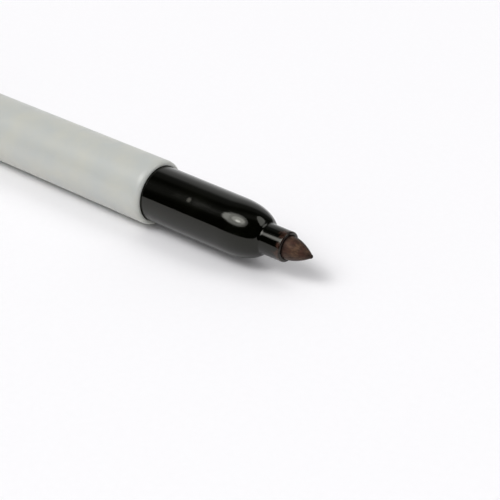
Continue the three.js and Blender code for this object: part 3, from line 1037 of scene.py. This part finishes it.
@dataclass
class Barrel:
    """The grey barrel: a tube with a rounded front lip, a slimmer rear end and a snap groove."""

    layout: Layout
    finish: SatinGrey
    turning: Turning = Turning(0.06, 0.4, SHELL_ROUND_STEPS)
    wall: float = 0.8
    lip_round: float = 1.05
    lip_face: float = 0.14
    witness_station: float = 1.15
    witness_width: float = 0.12
    witness_height: float = 0.045
    rear_radius: float = 5.7
    rear_bore: float = 4.92
    rear_round: float = 0.6
    rear_face: float = 0.5
    rear_bore_depth: float = 13.0
    rear_bore_slope: float = 1.0
    taper_start: float = 5.0
    taper_length: float = 6.0
    rib_count: int = 6
    rib_half: float = 0.45
    rib_reach: float = 4.05
    rib_front: float = 14.2
    rib_gap: float = 0.6
    rib_slope: float = 0.4

    def relief(self, stations: np.ndarray, radii: np.ndarray, angles: np.ndarray) -> np.ndarray:
        """Height of the inner ribs and of the mould's witness line round the lip.

        A rib reaches in from the bore wherever the distance round from its middle is small. The witness
        line is a bell curve along the marker, and its height wavers by two sines round it.

        Args:
            stations: Stations of the outline's points.
            radii: Their radii.
            angles: Angles round the axis.

        Returns:
            Height at each point and angle.
        """
        bore = self.layout.barrel_radius - self.wall
        rear = self.layout.rear.x - self.layout.rim.x + self.rear_bore_depth + self.rib_gap
        rise = np.clip((stations - rear) / self.rib_slope, 0, 1)
        along = rise * np.clip((-self.rib_front - stations) / self.rib_slope, 0, 1)
        inside, outside = radii < bore + self.wall / 4, radii > bore + self.wall / 2
        ribs = (self.rib_reach - bore) * along * bars(angles, self.rib_count, self.rib_half, bore) * inside
        waver = 1 + 0.5 * np.sin(5 * angles) * np.sin(13 * angles + 1)
        bell = np.exp(-(((stations + self.witness_station) / self.witness_width) ** 2))
        return ribs + self.witness_height * waver * bell * outside

    def build(self) -> None:
        """Builds the barrel from its wall's closed outline, counted back from the rim."""
        length = self.layout.rim.x - self.layout.rear.x
        outer, bore = self.layout.barrel_radius, self.layout.barrel_radius - self.wall
        taper_end = -length + self.taper_start
        bore_step = -length + self.rear_bore_depth
        rear_side = (-length + self.rear_round, self.rear_radius)
        outline = outline_of(
            (0, bore),
            quarter((-self.lip_round, outer), (0, bore + self.lip_face), 16)[::-1],
            ease((taper_end + self.taper_length, outer), (taper_end, self.rear_radius), 24),
            quarter(rear_side, (-length, self.rear_bore + self.rear_face), 8),
            (-length, self.rear_bore),
            (bore_step, self.rear_bore),
            (bore_step + self.rear_bore_slope, bore),
            snap_ring(bore, PRESS_FIT)[::-1],
        )
        piece = revolve("barrel_tube", self.layout.rim, outline, self.turning, self.relief)
        fit(piece, Body.MARKER, Slot.BARREL, self.finish.material(), "barrel")


@dataclass
class BulletEnd:
    """The bullet tip's end: the glossy black moulding and its fibre nib."""

    layout: Layout
    black: PolishedBlack
    fibre: InkedFibre
    turning: Turning = Turning(0.05, 0.5, FINE_ROUND_STEPS)
    nib_turning: Turning = Turning(0.1, 0.12, FINE_ROUND_STEPS)
    radius: float = 5.13
    taper: float = 0.09
    straight: float = 17.0
    shoulder_end: float = 24.4
    shoulder_end_radius: float = 2.76
    shoulder_leave: float = 2.36
    shoulder_arrive: float = 1.49
    shank: float = 14.0
    wall: float = 1.08
    hollow_end: float = 21.9
    nozzle_radius: float = 2.7
    nozzle_draft: float = 0.02
    nozzle_round: float = 0.3
    mouth_face: float = 0.1
    root_round: float = 0.25
    collar_start: float = 14.9
    collar_radius: float = 2.98
    bore: float = 2.18
    vent_half: float = 0.25
    vent_depth: float = 0.25
    vent_count: int = 4
    nib_radius: float = 2.08
    nib_point: float = 0.4
    nib_fullness: float = 1.8
    nib_rear: float = 9.7
    fibre_waves: int = 14
    fibre_height: float = 0.006
    scuff_station: float = 10.0
    scuff_radius: float = 5.09
    scuff_angle: float = 132.8

    def moulding(self) -> np.ndarray:
        """Outline of the moulding.

        The dome is cut off where it meets the rounding at the nozzle's root. The corner that pulls this
        rounding is where the dome's last slope, drawn on, reaches the nozzle's foot.

        Returns:
            Closed outline, from the nozzle's mouth back over the shoulder to the shank's bore.
        """
        tip = self.layout.nozzle_end
        foot = self.nozzle_radius + self.nozzle_draft
        inner = self.radius - self.wall
        front = (self.straight, self.radius - self.taper)
        end = (self.shoulder_end, self.shoulder_end_radius)
        dome = quarter(front, end, 60, self.shoulder_leave, self.shoulder_arrive)
        dome = dome[dome[:, 1] > foot + self.root_round][::-1]
        slope = (dome[1] - dome[0]) / (dome[1, 1] - dome[0, 1])
        corner = dome[0] + slope * (foot - dome[0, 1])
        nozzle_side = (tip - self.nozzle_round, self.nozzle_radius)
        return outline_of(
            (tip, self.bore),
            quarter(nozzle_side, (tip, self.bore + self.mouth_face), 8)[::-1],
            bend((corner[0] + self.root_round, foot), corner, dome[0], 8),
            dome[1:],
            (0, self.radius),
            snap_ring(self.radius, 0.0),
            (-self.shank, self.radius),
            (-self.shank, inner),
            (self.straight, inner),
            (self.hollow_end, self.collar_radius),
            (self.collar_start, self.collar_radius),
            (self.collar_start, self.bore),
        )

    def vents(self, stations: np.ndarray, radii: np.ndarray, angles: np.ndarray) -> np.ndarray:
        """Depth of the air slots in the nozzle's bore, as wide as the bars that they are cut by."""
        slots = bars(angles, self.vent_count, self.vent_half, self.bore)
        return self.vent_depth * slots * (radii < self.bore + self.mouth_face / 2)

    def nib(self) -> np.ndarray:
        """Outline of the nib: a rod, a bullet that narrows by a power of the way along, and a round point.

        Returns:
            Open outline, from the nib's rear to its point.
        """
        mouth, tip = self.layout.nozzle_end, self.layout.nib_tip
        share = np.linspace(0.0, 1.0, 40)
        turn = tip - self.nib_point
        fall = (self.nib_radius - self.nib_point) * share**self.nib_fullness
        bullet = np.column_stack([mouth + (turn - mouth) * share, self.nib_radius - fall])
        point = quarter((turn, self.nib_point), (tip, 0), 8)[1:]
        return outline_of((self.nib_rear, 0), (self.nib_rear, self.nib_radius), bullet, point)

    def fibres(self, stations: np.ndarray, radii: np.ndarray, angles: np.ndarray) -> np.ndarray:
        """Unevenness of the nib's fibres: sines round the axis that drift along it and fade at the tip.

        Args:
            stations: Stations of the outline's points.
            radii: Their radii.
            angles: Angles round the axis.

        Returns:
            Height at each point and angle.
        """
        rng = np.random.default_rng(7)
        counts = rng.integers(9, 60, self.fibre_waves)
        phases = rng.uniform(0, 2 * math.pi, self.fibre_waves)
        drift = rng.uniform(-1.4, 1.4, self.fibre_waves)
        height = sum(np.sin(n * angles + p + d * stations) for n, p, d in zip(counts, phases, drift))
        fade = np.clip(radii / self.nib_radius, 0, 1)
        return self.fibre_height * height / math.sqrt(self.fibre_waves) * fade

    def build(self) -> None:
        """Builds the moulding and the nib."""
        rim = self.layout.rim
        mouth, tip = rim.x + self.layout.nozzle_end, rim.x + self.layout.nib_tip
        place = (self.scuff_station, self.scuff_radius, math.radians(self.scuff_angle))
        black = self.black.stained(mouth, rim.place(*(np.array(value) for value in place)))
        moulding = revolve("bullet_end_moulding", rim, self.moulding(), self.turning, self.vents)
        fit(moulding, Body.MARKER, Slot.BLACK, black, "bullet_section")
        nib = revolve("bullet_fibre_nib", rim, self.nib(), self.nib_turning, self.fibres)
        fit(nib, Body.MARKER, Slot.FIBRE, self.fibre.material(mouth, tip, rim), "bullet_nib")


@dataclass
class UltraFineEnd:
    """The ultra-fine tip's end: a short nose, a long cone, a slim nozzle, a needle end and its nib."""

    layout: Layout
    black: PolishedBlack
    point: InkedPoint
    turning: Turning = Turning(0.05, 0.5)
    nib_turning: Turning = Turning(0.06, 0.4, SLIM_ROUND_STEPS)
    shank_radius: float = 4.85
    radius: float = 4.7
    shank: float = 13.0
    wall: float = 0.8
    straight: float = 7.0
    cone_end: float = 19.0
    nozzle_radius: float = 1.6
    nozzle_end: float = 23.5
    step: float = 0.3
    needle_radius: float = 1.0
    needle_edge: float = 0.1
    bore: float = 0.65
    hollow_end: float = 16.3
    collar_start: float = 6.0
    collar_wall: float = 0.9
    nib_radius: float = 0.55
    nib_point: float = 0.18
    nib_taper: float = 1.2
    nib_rear: float = 0.8

    def moulding(self) -> np.ndarray:
        """Outline of the moulding, with a cone that follows a smooth S.

        Returns:
            Closed outline, from the needle's mouth back to the shank's bore.
        """
        tip = self.layout.fine_needle_end
        inner, collar = self.shank_radius - self.wall, self.bore + self.collar_wall
        return outline_of(
            (tip, self.bore),
            (tip, self.needle_radius - self.needle_edge),
            (tip - self.needle_edge, self.needle_radius),
            (self.nozzle_end, self.nozzle_radius - self.step),
            (self.nozzle_end, self.nozzle_radius),
            (self.cone_end, self.nozzle_radius),
            ease((self.cone_end, self.nozzle_radius + self.step), (self.straight, self.radius), 40),
            (0, self.radius),
            (0, self.shank_radius),
            (-self.shank, self.shank_radius),
            (-self.shank, inner),
            (self.straight, inner),
            (self.hollow_end, collar),
            (self.collar_start, collar),
            (self.collar_start, self.bore),
        )

    def nib(self) -> np.ndarray:
        """Outline of the nib: a rod with a short taper and a round point.

        Returns:
            Open outline, from the nib's rear to its point.
        """
        tip, rear = self.layout.fine_nib_tip, self.nib_rear
        rod = outline_of((rear, 0), (rear, self.nib_radius), (tip - self.nib_taper, self.nib_radius))
        return outline_of(rod, quarter((tip - self.nib_point, self.nib_point), (tip, 0), 8))

    def build(self) -> None:
        """Builds the moulding and the nib."""
        rear = self.layout.rear
        moulding = revolve("ultra_fine_moulding", rear, self.moulding(), self.turning)
        fit(moulding, Body.MARKER, Slot.BLACK, self.black.material(), "ultra_fine_section")
        nib = revolve("ultra_fine_plastic_nib", rear, self.nib(), self.nib_turning)
        fit(nib, Body.MARKER, Slot.POINT, self.point.material(), "ultra_fine_nib")


@dataclass
class SmallCap:
    """The ultra-fine tip's cap: a fluted grip, a slimmer tail and an inner seal."""

    layout: Layout
    black: PolishedBlack
    natural: WaxyNatural
    turning: Turning = Turning(0.08, 0.28, SHELL_ROUND_STEPS)
    radius: float = 5.7
    bore: float = 4.8
    bore_depth: float = 8.0
    step: float = 12.6
    step_round: float = 0.5
    tail_radius: float = 5.08
    tail_wall: float = 0.8
    tail_taper: float = 0.12
    end_wall: float = 1.4
    edge_round: float = 1.3
    gate: tuple[float, float, float] = (0.55, 0.4, 0.06)
    flute_count: int = 12
    flute_radius: float = 1.1
    flute_depth: float = 0.25
    flute_start: float = 2.0
    flute_length: float = 7.0
    seal_radius: float = 2.3
    seal_wall: float = 0.6
    seal_mouth: float = 20.5

    def shell(self) -> np.ndarray:
        """Outline of the cap.

        Returns:
            Open outline, from the inside of the closed end round the mouth to the outside.
        """
        length = self.layout.small_cap_length
        depth = length - self.end_wall
        tail_bore = self.tail_radius - self.tail_wall
        return outline_of(
            (depth, 0),
            seal_socket(depth, self.seal_radius, tail_bore - self.tail_taper),
            (self.step - self.tail_wall, tail_bore),
            (self.bore_depth, self.bore),
            chamfered_mouth(0, self.bore, self.radius),
            quarter((self.step - self.step_round, self.radius), (self.step, self.tail_radius), 8),
            closed_end(length, self.tail_radius - self.tail_taper, self.edge_round, self.gate),
        )

    def flutes(self, stations: np.ndarray, radii: np.ndarray, angles: np.ndarray) -> np.ndarray:
        """Depth of the flutes, each the dip of a round-ended bar laid along the grip.

        At a point, the bar reaches in by the root of its radius squared less the squares of the distance
        round from its middle and of the distance past its straight part. What keeps the bar's axis outside
        the surface is taken off.

        Args:
            stations: Stations of the outline's points.
            radii: Their radii.
            angles: Angles round the axis.

        Returns:
            Height at each point and angle, nothing or less.
        """
        half = self.flute_length / 2 - self.flute_radius
        middle = self.flute_start + self.flute_length / 2
        past = np.maximum(np.abs(stations - middle) - half, 0.0)
        across = wrapped(angles * self.flute_count + math.pi) / self.flute_count * self.radius
        inside = np.maximum(self.flute_radius**2 - across**2 - past**2, 0.0)
        dip = np.maximum(np.sqrt(inside) - (self.flute_radius - self.flute_depth), 0.0)
        return -dip * (radii > self.radius - CHAMFER / 2)

    def build(self) -> None:
        """Builds the cap and its seal."""
        seat = self.layout.small_cap
        shell = revolve("small_cap_shell", seat, self.shell(), self.turning, self.flutes)
        fit(shell, Body.SMALL_CAP, Slot.BLACK, self.black.material(), "ultra_fine_cap")
        end = self.layout.small_cap_length - self.end_wall - END_GAP
        outline = seal_tube(self.seal_mouth, end, self.seal_wall, self.seal_radius)
        seal = revolve("small_cap_seal", seat, outline, SEAL_TURNING)
        fit(seal, Body.SMALL_CAP, Slot.SEAL, self.natural.material(), "ultra_fine_cap_seal")


@dataclass
class LargeCap:
    """The bullet tip's cap: a tube with a flat closed end, a pocket clip and an inner seal."""

    layout: Layout
    black: PolishedBlack
    natural: WaxyNatural
    turning: Turning = Turning(0.08, 0.33, SHELL_ROUND_STEPS)
    bore: float = 5.35
    taper: float = 0.22
    end_wall: float = 1.4
    edge_round: float = 1.3
    gate: tuple[float, float, float] = (0.7, 0.5, 0.07)
    seal_radius: float = 3.55
    seal_wall: float = 0.75
    seal_overlap: float = 3.0
    grip_count: int = 6
    grip_half: float = 0.4
    grip_height: float = 0.12
    grip_start: float = 2.5
    grip_length: float = 12.0
    grip_slope: float = 0.3

    def shell(self) -> np.ndarray:
        """Outline of the cap.

        Returns:
            Open outline, from the inside of the closed end round the mouth to the outside.
        """
        length, outer = self.layout.large_cap_length, self.layout.barrel_radius
        depth = length - self.end_wall
        return outline_of(
            (depth, 0),
            seal_socket(depth, self.seal_radius, self.bore - self.taper),
            chamfered_mouth(0, self.bore, outer),
            closed_end(length, outer - self.taper, self.edge_round, self.gate),
        )

    def grips(self, stations: np.ndarray, radii: np.ndarray, angles: np.ndarray) -> np.ndarray:
        """Height of the grip ribs inside the mouth, with a short slope at each end.

        Args:
            stations: Stations of the outline's points.
            radii: Their radii.
            angles: Angles round the axis.

        Returns:
            Height at each point and angle, nothing or less.
        """
        past = stations - self.grip_start
        along = np.clip(past / self.grip_slope, 0, 1)
        along = along * np.clip((self.grip_length - past) / self.grip_slope, 0, 1)
        ribs = bars(angles, self.grip_count, self.grip_half, self.bore)
        return -self.grip_height * along * ribs * (radii < self.bore + CHAMFER / 2)

    def build(self) -> None:
        """Builds the cap, its clip, which is of the same material, and its seal."""
        seat, black = self.layout.large_cap, self.black.material()
        shell = revolve("large_cap_shell", seat, self.shell(), self.turning, self.grips)
        fit(shell, Body.LARGE_CAP, Slot.BLACK, black, "bullet_cap")
        Clip(self.layout, black).build()
        mouth = self.layout.nozzle_end - self.seal_overlap
        end = self.layout.large_cap_length - self.end_wall - END_GAP
        outline = seal_tube(mouth, end, self.seal_wall, self.seal_radius)
        seal = revolve("large_cap_seal", seat, outline, SEAL_TURNING)
        fit(seal, Body.LARGE_CAP, Slot.SEAL, self.natural.material(), "bullet_cap_seal")


@dataclass
class Clip:
    """The large cap's pocket clip: a springy bar, rooted at the closed end, with a bead near its tip."""

    layout: Layout
    black: bpy.types.Material
    length: float = 31.0
    gap: float = 1.7
    thickness: float = 1.15
    root_width: float = 5.0
    tip_width: float = 3.6
    root_length: float = 4.5
    root_depth: float = 0.62
    root_inset: float = 0.65
    inset: float = 0.5
    bead_from_tip: float = 3.2
    bead_radius: float = 1.5
    bead_clearance: float = 0.25
    flare: float = 0.35
    bevel: float = 0.6
    squareness: float = 0.4
    along_steps: int = 180
    root_steps: int = 60
    round_steps: int = 64

    def angle(self) -> float:
        """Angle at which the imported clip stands: that of the mean of the corners that lie beyond the tube.

        Returns:
            The angle from +Y towards +Z.
        """
        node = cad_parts["bullet_cap"].data
        corners = np.empty(len(node.vertices) * 3, np.float32)
        node.vertices.foreach_get("co", corners)
        across = corners.reshape(-1, 3)[:, 1:] / MM - np.array([self.layout.rim.y, self.layout.rim.z])
        beyond = across[np.linalg.norm(across, axis=1) > self.layout.barrel_radius + self.gap]
        mean = beyond.mean(0)
        return math.atan2(mean[1], mean[0])

    def faces(self) -> tuple[np.ndarray, np.ndarray]:
        """Curves of the upper and the lower face.

        Both are runs of parabolas. The upper one rises at the tip, runs along the arm and falls round the
        root. The lower one dips to the bead, rises to the arm and falls to the root.

        Returns:
            Points of (station, distance from the axis) along each face.
        """
        surface = self.layout.barrel_radius
        under = surface + self.gap
        top, arm = under + self.thickness, under + self.thickness - self.flare
        back = self.layout.large_cap_length - self.inset
        front, root = back - self.length, back - self.root_length
        bend_end, middle = front + self.thickness, (front + back) / 2
        foot = (back - self.root_inset, surface - self.root_depth)
        bead, bead_low = front + self.bead_from_tip, surface + self.bead_clearance
        bead_end = (bead + 2 * self.bead_radius, under - self.flare)
        ceiling = under - self.flare / 2
        upper = outline_of(
            bend((front, under), (front, arm), (bend_end, arm)),
            bend((bend_end, arm), (middle, arm), (root, top))[1:],
            bend((root, top), (back, top), foot, 20)[1:],
        )
        lower = outline_of(
            bend((front, under), (bend_end, bead_low), (bead, bead_low)),
            bend((bead, bead_low), (bead + self.bead_radius, bead_low), bead_end)[1:],
            (root - self.gap, ceiling),
            bend((root - self.gap, ceiling), (root, ceiling), (root, foot[1]))[1:],
            foot,
        )
        return upper, lower

    def build(self) -> None:
        """Builds the clip as a bar whose upper and lower faces follow two curves along the cap.

        At each station the section is a superellipse, a rounded rectangle, between the lower and upper
        faces and as wide as the clip is there. The width grows from the tip on and is rounded off there.
        """
        upper, lower = self.faces()
        back = self.layout.large_cap_length - self.inset
        front, foot, root = back - self.length, back - self.root_inset, back - self.root_length
        eased = (1 - np.cos(np.linspace(0, math.pi, self.along_steps))) / 2
        near_root = np.linspace(root - self.gap, foot, self.root_steps)
        station = np.unique(np.concatenate([front + (foot - front) * eased, near_root]))
        high = np.interp(station, np.maximum.accumulate(upper[:, 0]), upper[:, 1])
        low = np.interp(station, lower[:, 0], lower[:, 1])
        half_width = np.interp(station, [front, back], [self.tip_width / 2, self.root_width / 2])
        from_tip = np.clip((station - front) / (self.tip_width / 2), 0, 1)
        half_width *= np.sqrt(np.clip(1 - (1 - from_tip) ** 2, 0, 1))
        turn = np.linspace(0, 2 * math.pi, self.round_steps, endpoint=False)[None, :]
        across = np.sign(np.cos(turn)) * np.abs(np.cos(turn)) ** self.squareness * half_width[:, None]
        rise = np.sign(np.sin(turn)) * np.abs(np.sin(turn)) ** self.squareness
        height = (high + low)[:, None] / 2 + rise * (high - low)[:, None] / 2
        bevelled = np.maximum(np.abs(across) - (self.root_width / 2 - 2 * self.bevel), 0) / 2
        top = self.layout.barrel_radius + self.gap + self.thickness
        height = np.minimum(height, top - bevelled)
        seat, angle = self.layout.large_cap, self.angle()
        x = seat.x + seat.direction * station[:, None] + 0 * turn
        y = seat.y + height * math.cos(angle) - across * math.sin(angle)
        z = seat.z + height * math.sin(angle) + across * math.cos(angle)
        piece = skin("large_cap_clip", np.stack([x, y, z], -1) * MM, station * MM, False)
        fit(piece, Body.LARGE_CAP, Slot.BLACK, self.black)


@dataclass
class Reservoir:
    """The ink reservoir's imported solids, which keep their shapes and get their own materials."""

    core: SoakedCore
    film: CrinkledFilm

    def build(self) -> None:
        """Dresses the core and its film sleeve."""
        dress(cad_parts["reservoir_core"], self.core.material())
        dress(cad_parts["reservoir_film"], self.film.material())
        log.info("reservoir_core and reservoir_film: dressed")


@dataclass(frozen=True)
class PhotoCamera:
    """The camera at the photograph's viewing angle, with a known point at its place in the image.

    The camera looks along the azimuth and down by the elevation. It stands off from the reference point by
    the distance, and is moved square to its view until that point falls on its place in the image.
    """

    layout: Layout
    azimuth: float = 39.77
    elevation: float = 30.87
    distance: float = 240.0
    pixels_per_mm: float = 5.88
    image_side: float = 500.0
    place_right: float = 237.96
    place_down: float = 226.07
    reference_station: float = 18.0
    sensor: float = 36.0
    nearest: float = 0.01
    furthest: float = 60.0

    def axes(self) -> tuple[Vector, Vector, Vector]:
        """The camera's directions.

        Returns:
            Right, up and forward.
        """
        azimuth, elevation = math.radians(self.azimuth), math.radians(self.elevation)
        level = Vector((-math.sin(azimuth), math.cos(azimuth), 0))
        right = Vector((math.cos(azimuth), math.sin(azimuth), 0))
        rise = Vector((0, 0, 1))
        forward = level * math.cos(elevation) - rise * math.sin(elevation)
        up = level * math.sin(elevation) + rise * math.cos(elevation)
        return right, up, forward

    def build(self) -> None:
        """Makes the camera and puts it in charge of the scene."""
        right, up, forward = self.axes()
        rim = self.layout.rim
        target = Vector((rim.x + self.reference_station, rim.y, rim.z))
        middle = self.image_side / 2
        aside = right * ((middle - self.place_right) / self.pixels_per_mm)
        above = up * ((self.place_down - middle) / self.pixels_per_mm)
        place = target - forward * self.distance + aside + above
        data = bpy.data.cameras.new("photo_camera")
        data.sensor_width = self.sensor
        data.lens = self.pixels_per_mm * self.distance / self.image_side * self.sensor
        data.clip_start, data.clip_end = self.nearest, self.furthest
        camera = linked("photo_camera", data)
        basis = Matrix((right, up, -forward)).transposed().to_4x4()
        camera.matrix_world = Matrix.Translation(place * MM) @ basis
        bpy.context.scene.camera = camera


@dataclass(frozen=True)
class Panel:
    """A flat lamp as the nose sees it: the half angles it fills along and across the marker, in degrees."""

    name: str
    shape: LampShape
    direction: tuple[float, float, float]
    half_along: float
    half_across: float
    radiance: float


@dataclass(frozen=True)
class Studio:
    """White floor, soft lamps and a plain surround."""

    layout: Layout
    paper: WhitePaper
    distance: float = 8.0
    aim_station: float = 20.0
    floor_reach: float = 2.0
    panels: tuple[Panel, ...] = (
        Panel("key", LampShape.ELLIPSE, (-0.22, -0.53, 0.82), 21.2, 22.5, 1.6),
        Panel("key_middle", LampShape.ELLIPSE, (-0.25, -0.53, 0.81), 18.0, 18.0, 1.9),
        Panel("key_end", LampShape.RECTANGLE, (-0.49, -0.485, 0.725), 3.8, 10.0, 1.3),
        Panel("key_inner", LampShape.ELLIPSE, (-0.18, -0.505, 0.845), 11.5, 10.0, 3.2),
        Panel("key_core", LampShape.ELLIPSE, (-0.19, -0.57, 0.80), 4.5, 4.0, 8.0),
        Panel("window", LampShape.ELLIPSE, (0.51, 0.385, 0.77), 23.5, 16.0, 2.05),
    )
    fill_near: float = 0.4
    fill_far: float = 0.41
    fill_span: Point = (-0.25, 0.3)
    white: float = 0.955
    room_span: Point = (-0.2, 1.0)
    room: tuple[Point, ...] = (
        (0.0, 0.0), (0.05, 0.02), (0.11, 0.12), (0.22, 0.12), (0.43, 0.01), (0.5, 0.02),
        (0.57, 0.08), (0.74, 0.11), (0.82, 0.56), (0.94, 0.66), (1.0, 1.0),
    )

    def hang(self, panel: Panel) -> None:
        """Adds a panel at the studio's distance, square to its direction.

        Each side is twice the distance times the tangent of its half angle. The lamp's power is its
        radiance times pi times its area.

        Args:
            panel: The panel.
        """
        data = bpy.data.lights.new(panel.name, "AREA")
        data.shape = panel.shape.value
        halves = (panel.half_along, panel.half_across)
        data.size, data.size_y = (2 * self.distance * math.tan(math.radians(half)) for half in halves)
        filled = math.pi / 4 if panel.shape is LampShape.ELLIPSE else 1.0
        data.energy = panel.radiance * math.pi * filled * data.size * data.size_y
        way = Vector(panel.direction).normalized()
        along = (Vector((1, 0, 0)) - way * way.x).normalized()
        rim = self.layout.rim
        target = Vector((rim.x + self.aim_station, rim.y, rim.z)) * MM
        turn = Matrix((along, way.cross(along), way)).transposed().to_4x4()
        lamp = linked(panel.name, data)
        lamp.matrix_world = Matrix.Translation(target + way * self.distance) @ turn
        lamp.visible_camera = False

    def floor(self) -> None:
        """The floor, level with the lowest point of the marker."""
        height = min(0.0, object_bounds()[0].z)
        turns = ((-1, -1), (1, -1), (1, 1), (-1, 1))
        corners = [(x * self.floor_reach, y * self.floor_reach, height) for x, y in turns]
        mesh = bpy.data.meshes.new("floor")
        mesh.from_pydata(corners, [], [(0, 1, 2, 3)])
        floor = linked("floor", mesh)
        dress(floor, self.paper.material())
        floor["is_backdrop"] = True

    def surround(self, camera: PhotoCamera) -> None:
        """The world: white to the camera, a soft fill, and a room seen in gloss.

        The room's brightness goes by how far a direction points away from the camera's side: dark behind
        the camera, dim overhead, and white beyond the marker.

        Args:
            camera: The camera, whose level direction says which side is beyond the marker.
        """
        world = bpy.data.worlds.new("surround")
        bpy.context.scene.world = world
        world.use_nodes = True
        g = Graph(world.node_tree)
        way = g.add("ShaderNodeTexCoord").outputs["Generated"]
        forward = camera.axes()[2]
        level = Vector((forward.x, forward.y, 0)).normalized()
        across = g.add("ShaderNodeVectorMath", {0: way, 1: level}, operation="DOT_PRODUCT")
        beyond = across.outputs["Value"]
        path = g.add("ShaderNodeLightPath").outputs
        sharp = g.maths(Maths.MAXIMUM, path["Is Glossy Ray"], path["Is Transmission Ray"])
        side = g.spread(beyond, *self.fill_span, 0.0, 1.0)
        fill = g.mix(side, grey(self.fill_near), grey(self.fill_far))
        stops = [(place, grey(brightness)) for place, brightness in self.room]
        room = g.ramp(g.spread(beyond, *self.room_span, 0.0, 1.0), stops)
        seen = g.mix(path["Is Camera Ray"], g.mix(sharp, fill, room), grey(self.white))
        background = g.add("ShaderNodeBackground", {"Color": seen, "Strength": 1.0})
        g.add("ShaderNodeOutputWorld", {"Surface": background.outputs["Background"]})

    def build(self, camera: PhotoCamera) -> None:
        """Builds the floor, the lamps and the surround.

        Args:
            camera: The camera, which the surround is turned to.
        """
        self.floor()
        for panel in self.panels:
            self.hang(panel)
        self.surround(camera)
        bpy.context.scene.view_settings.view_transform = "Standard"


def main() -> None:
    """Builds the camera, then the marker from its bullet tip to its posted caps, then the studio."""
    logging.basicConfig(level=logging.INFO, format="%(name)s: %(message)s")
    layout = Layout.from_frame()
    camera = PhotoCamera(layout)
    camera.build()
    black, natural = PolishedBlack(), WaxyNatural()
    Barrel(layout, SatinGrey()).build()
    BulletEnd(layout, black, InkedFibre()).build()
    UltraFineEnd(layout, black, InkedPoint()).build()
    SmallCap(layout, black, natural).build()
    LargeCap(layout, black, natural).build()
    Reservoir(SoakedCore(), CrinkledFilm()).build()
    Studio(layout, WhitePaper()).build(camera)


if __name__ == "__main__":
    main()
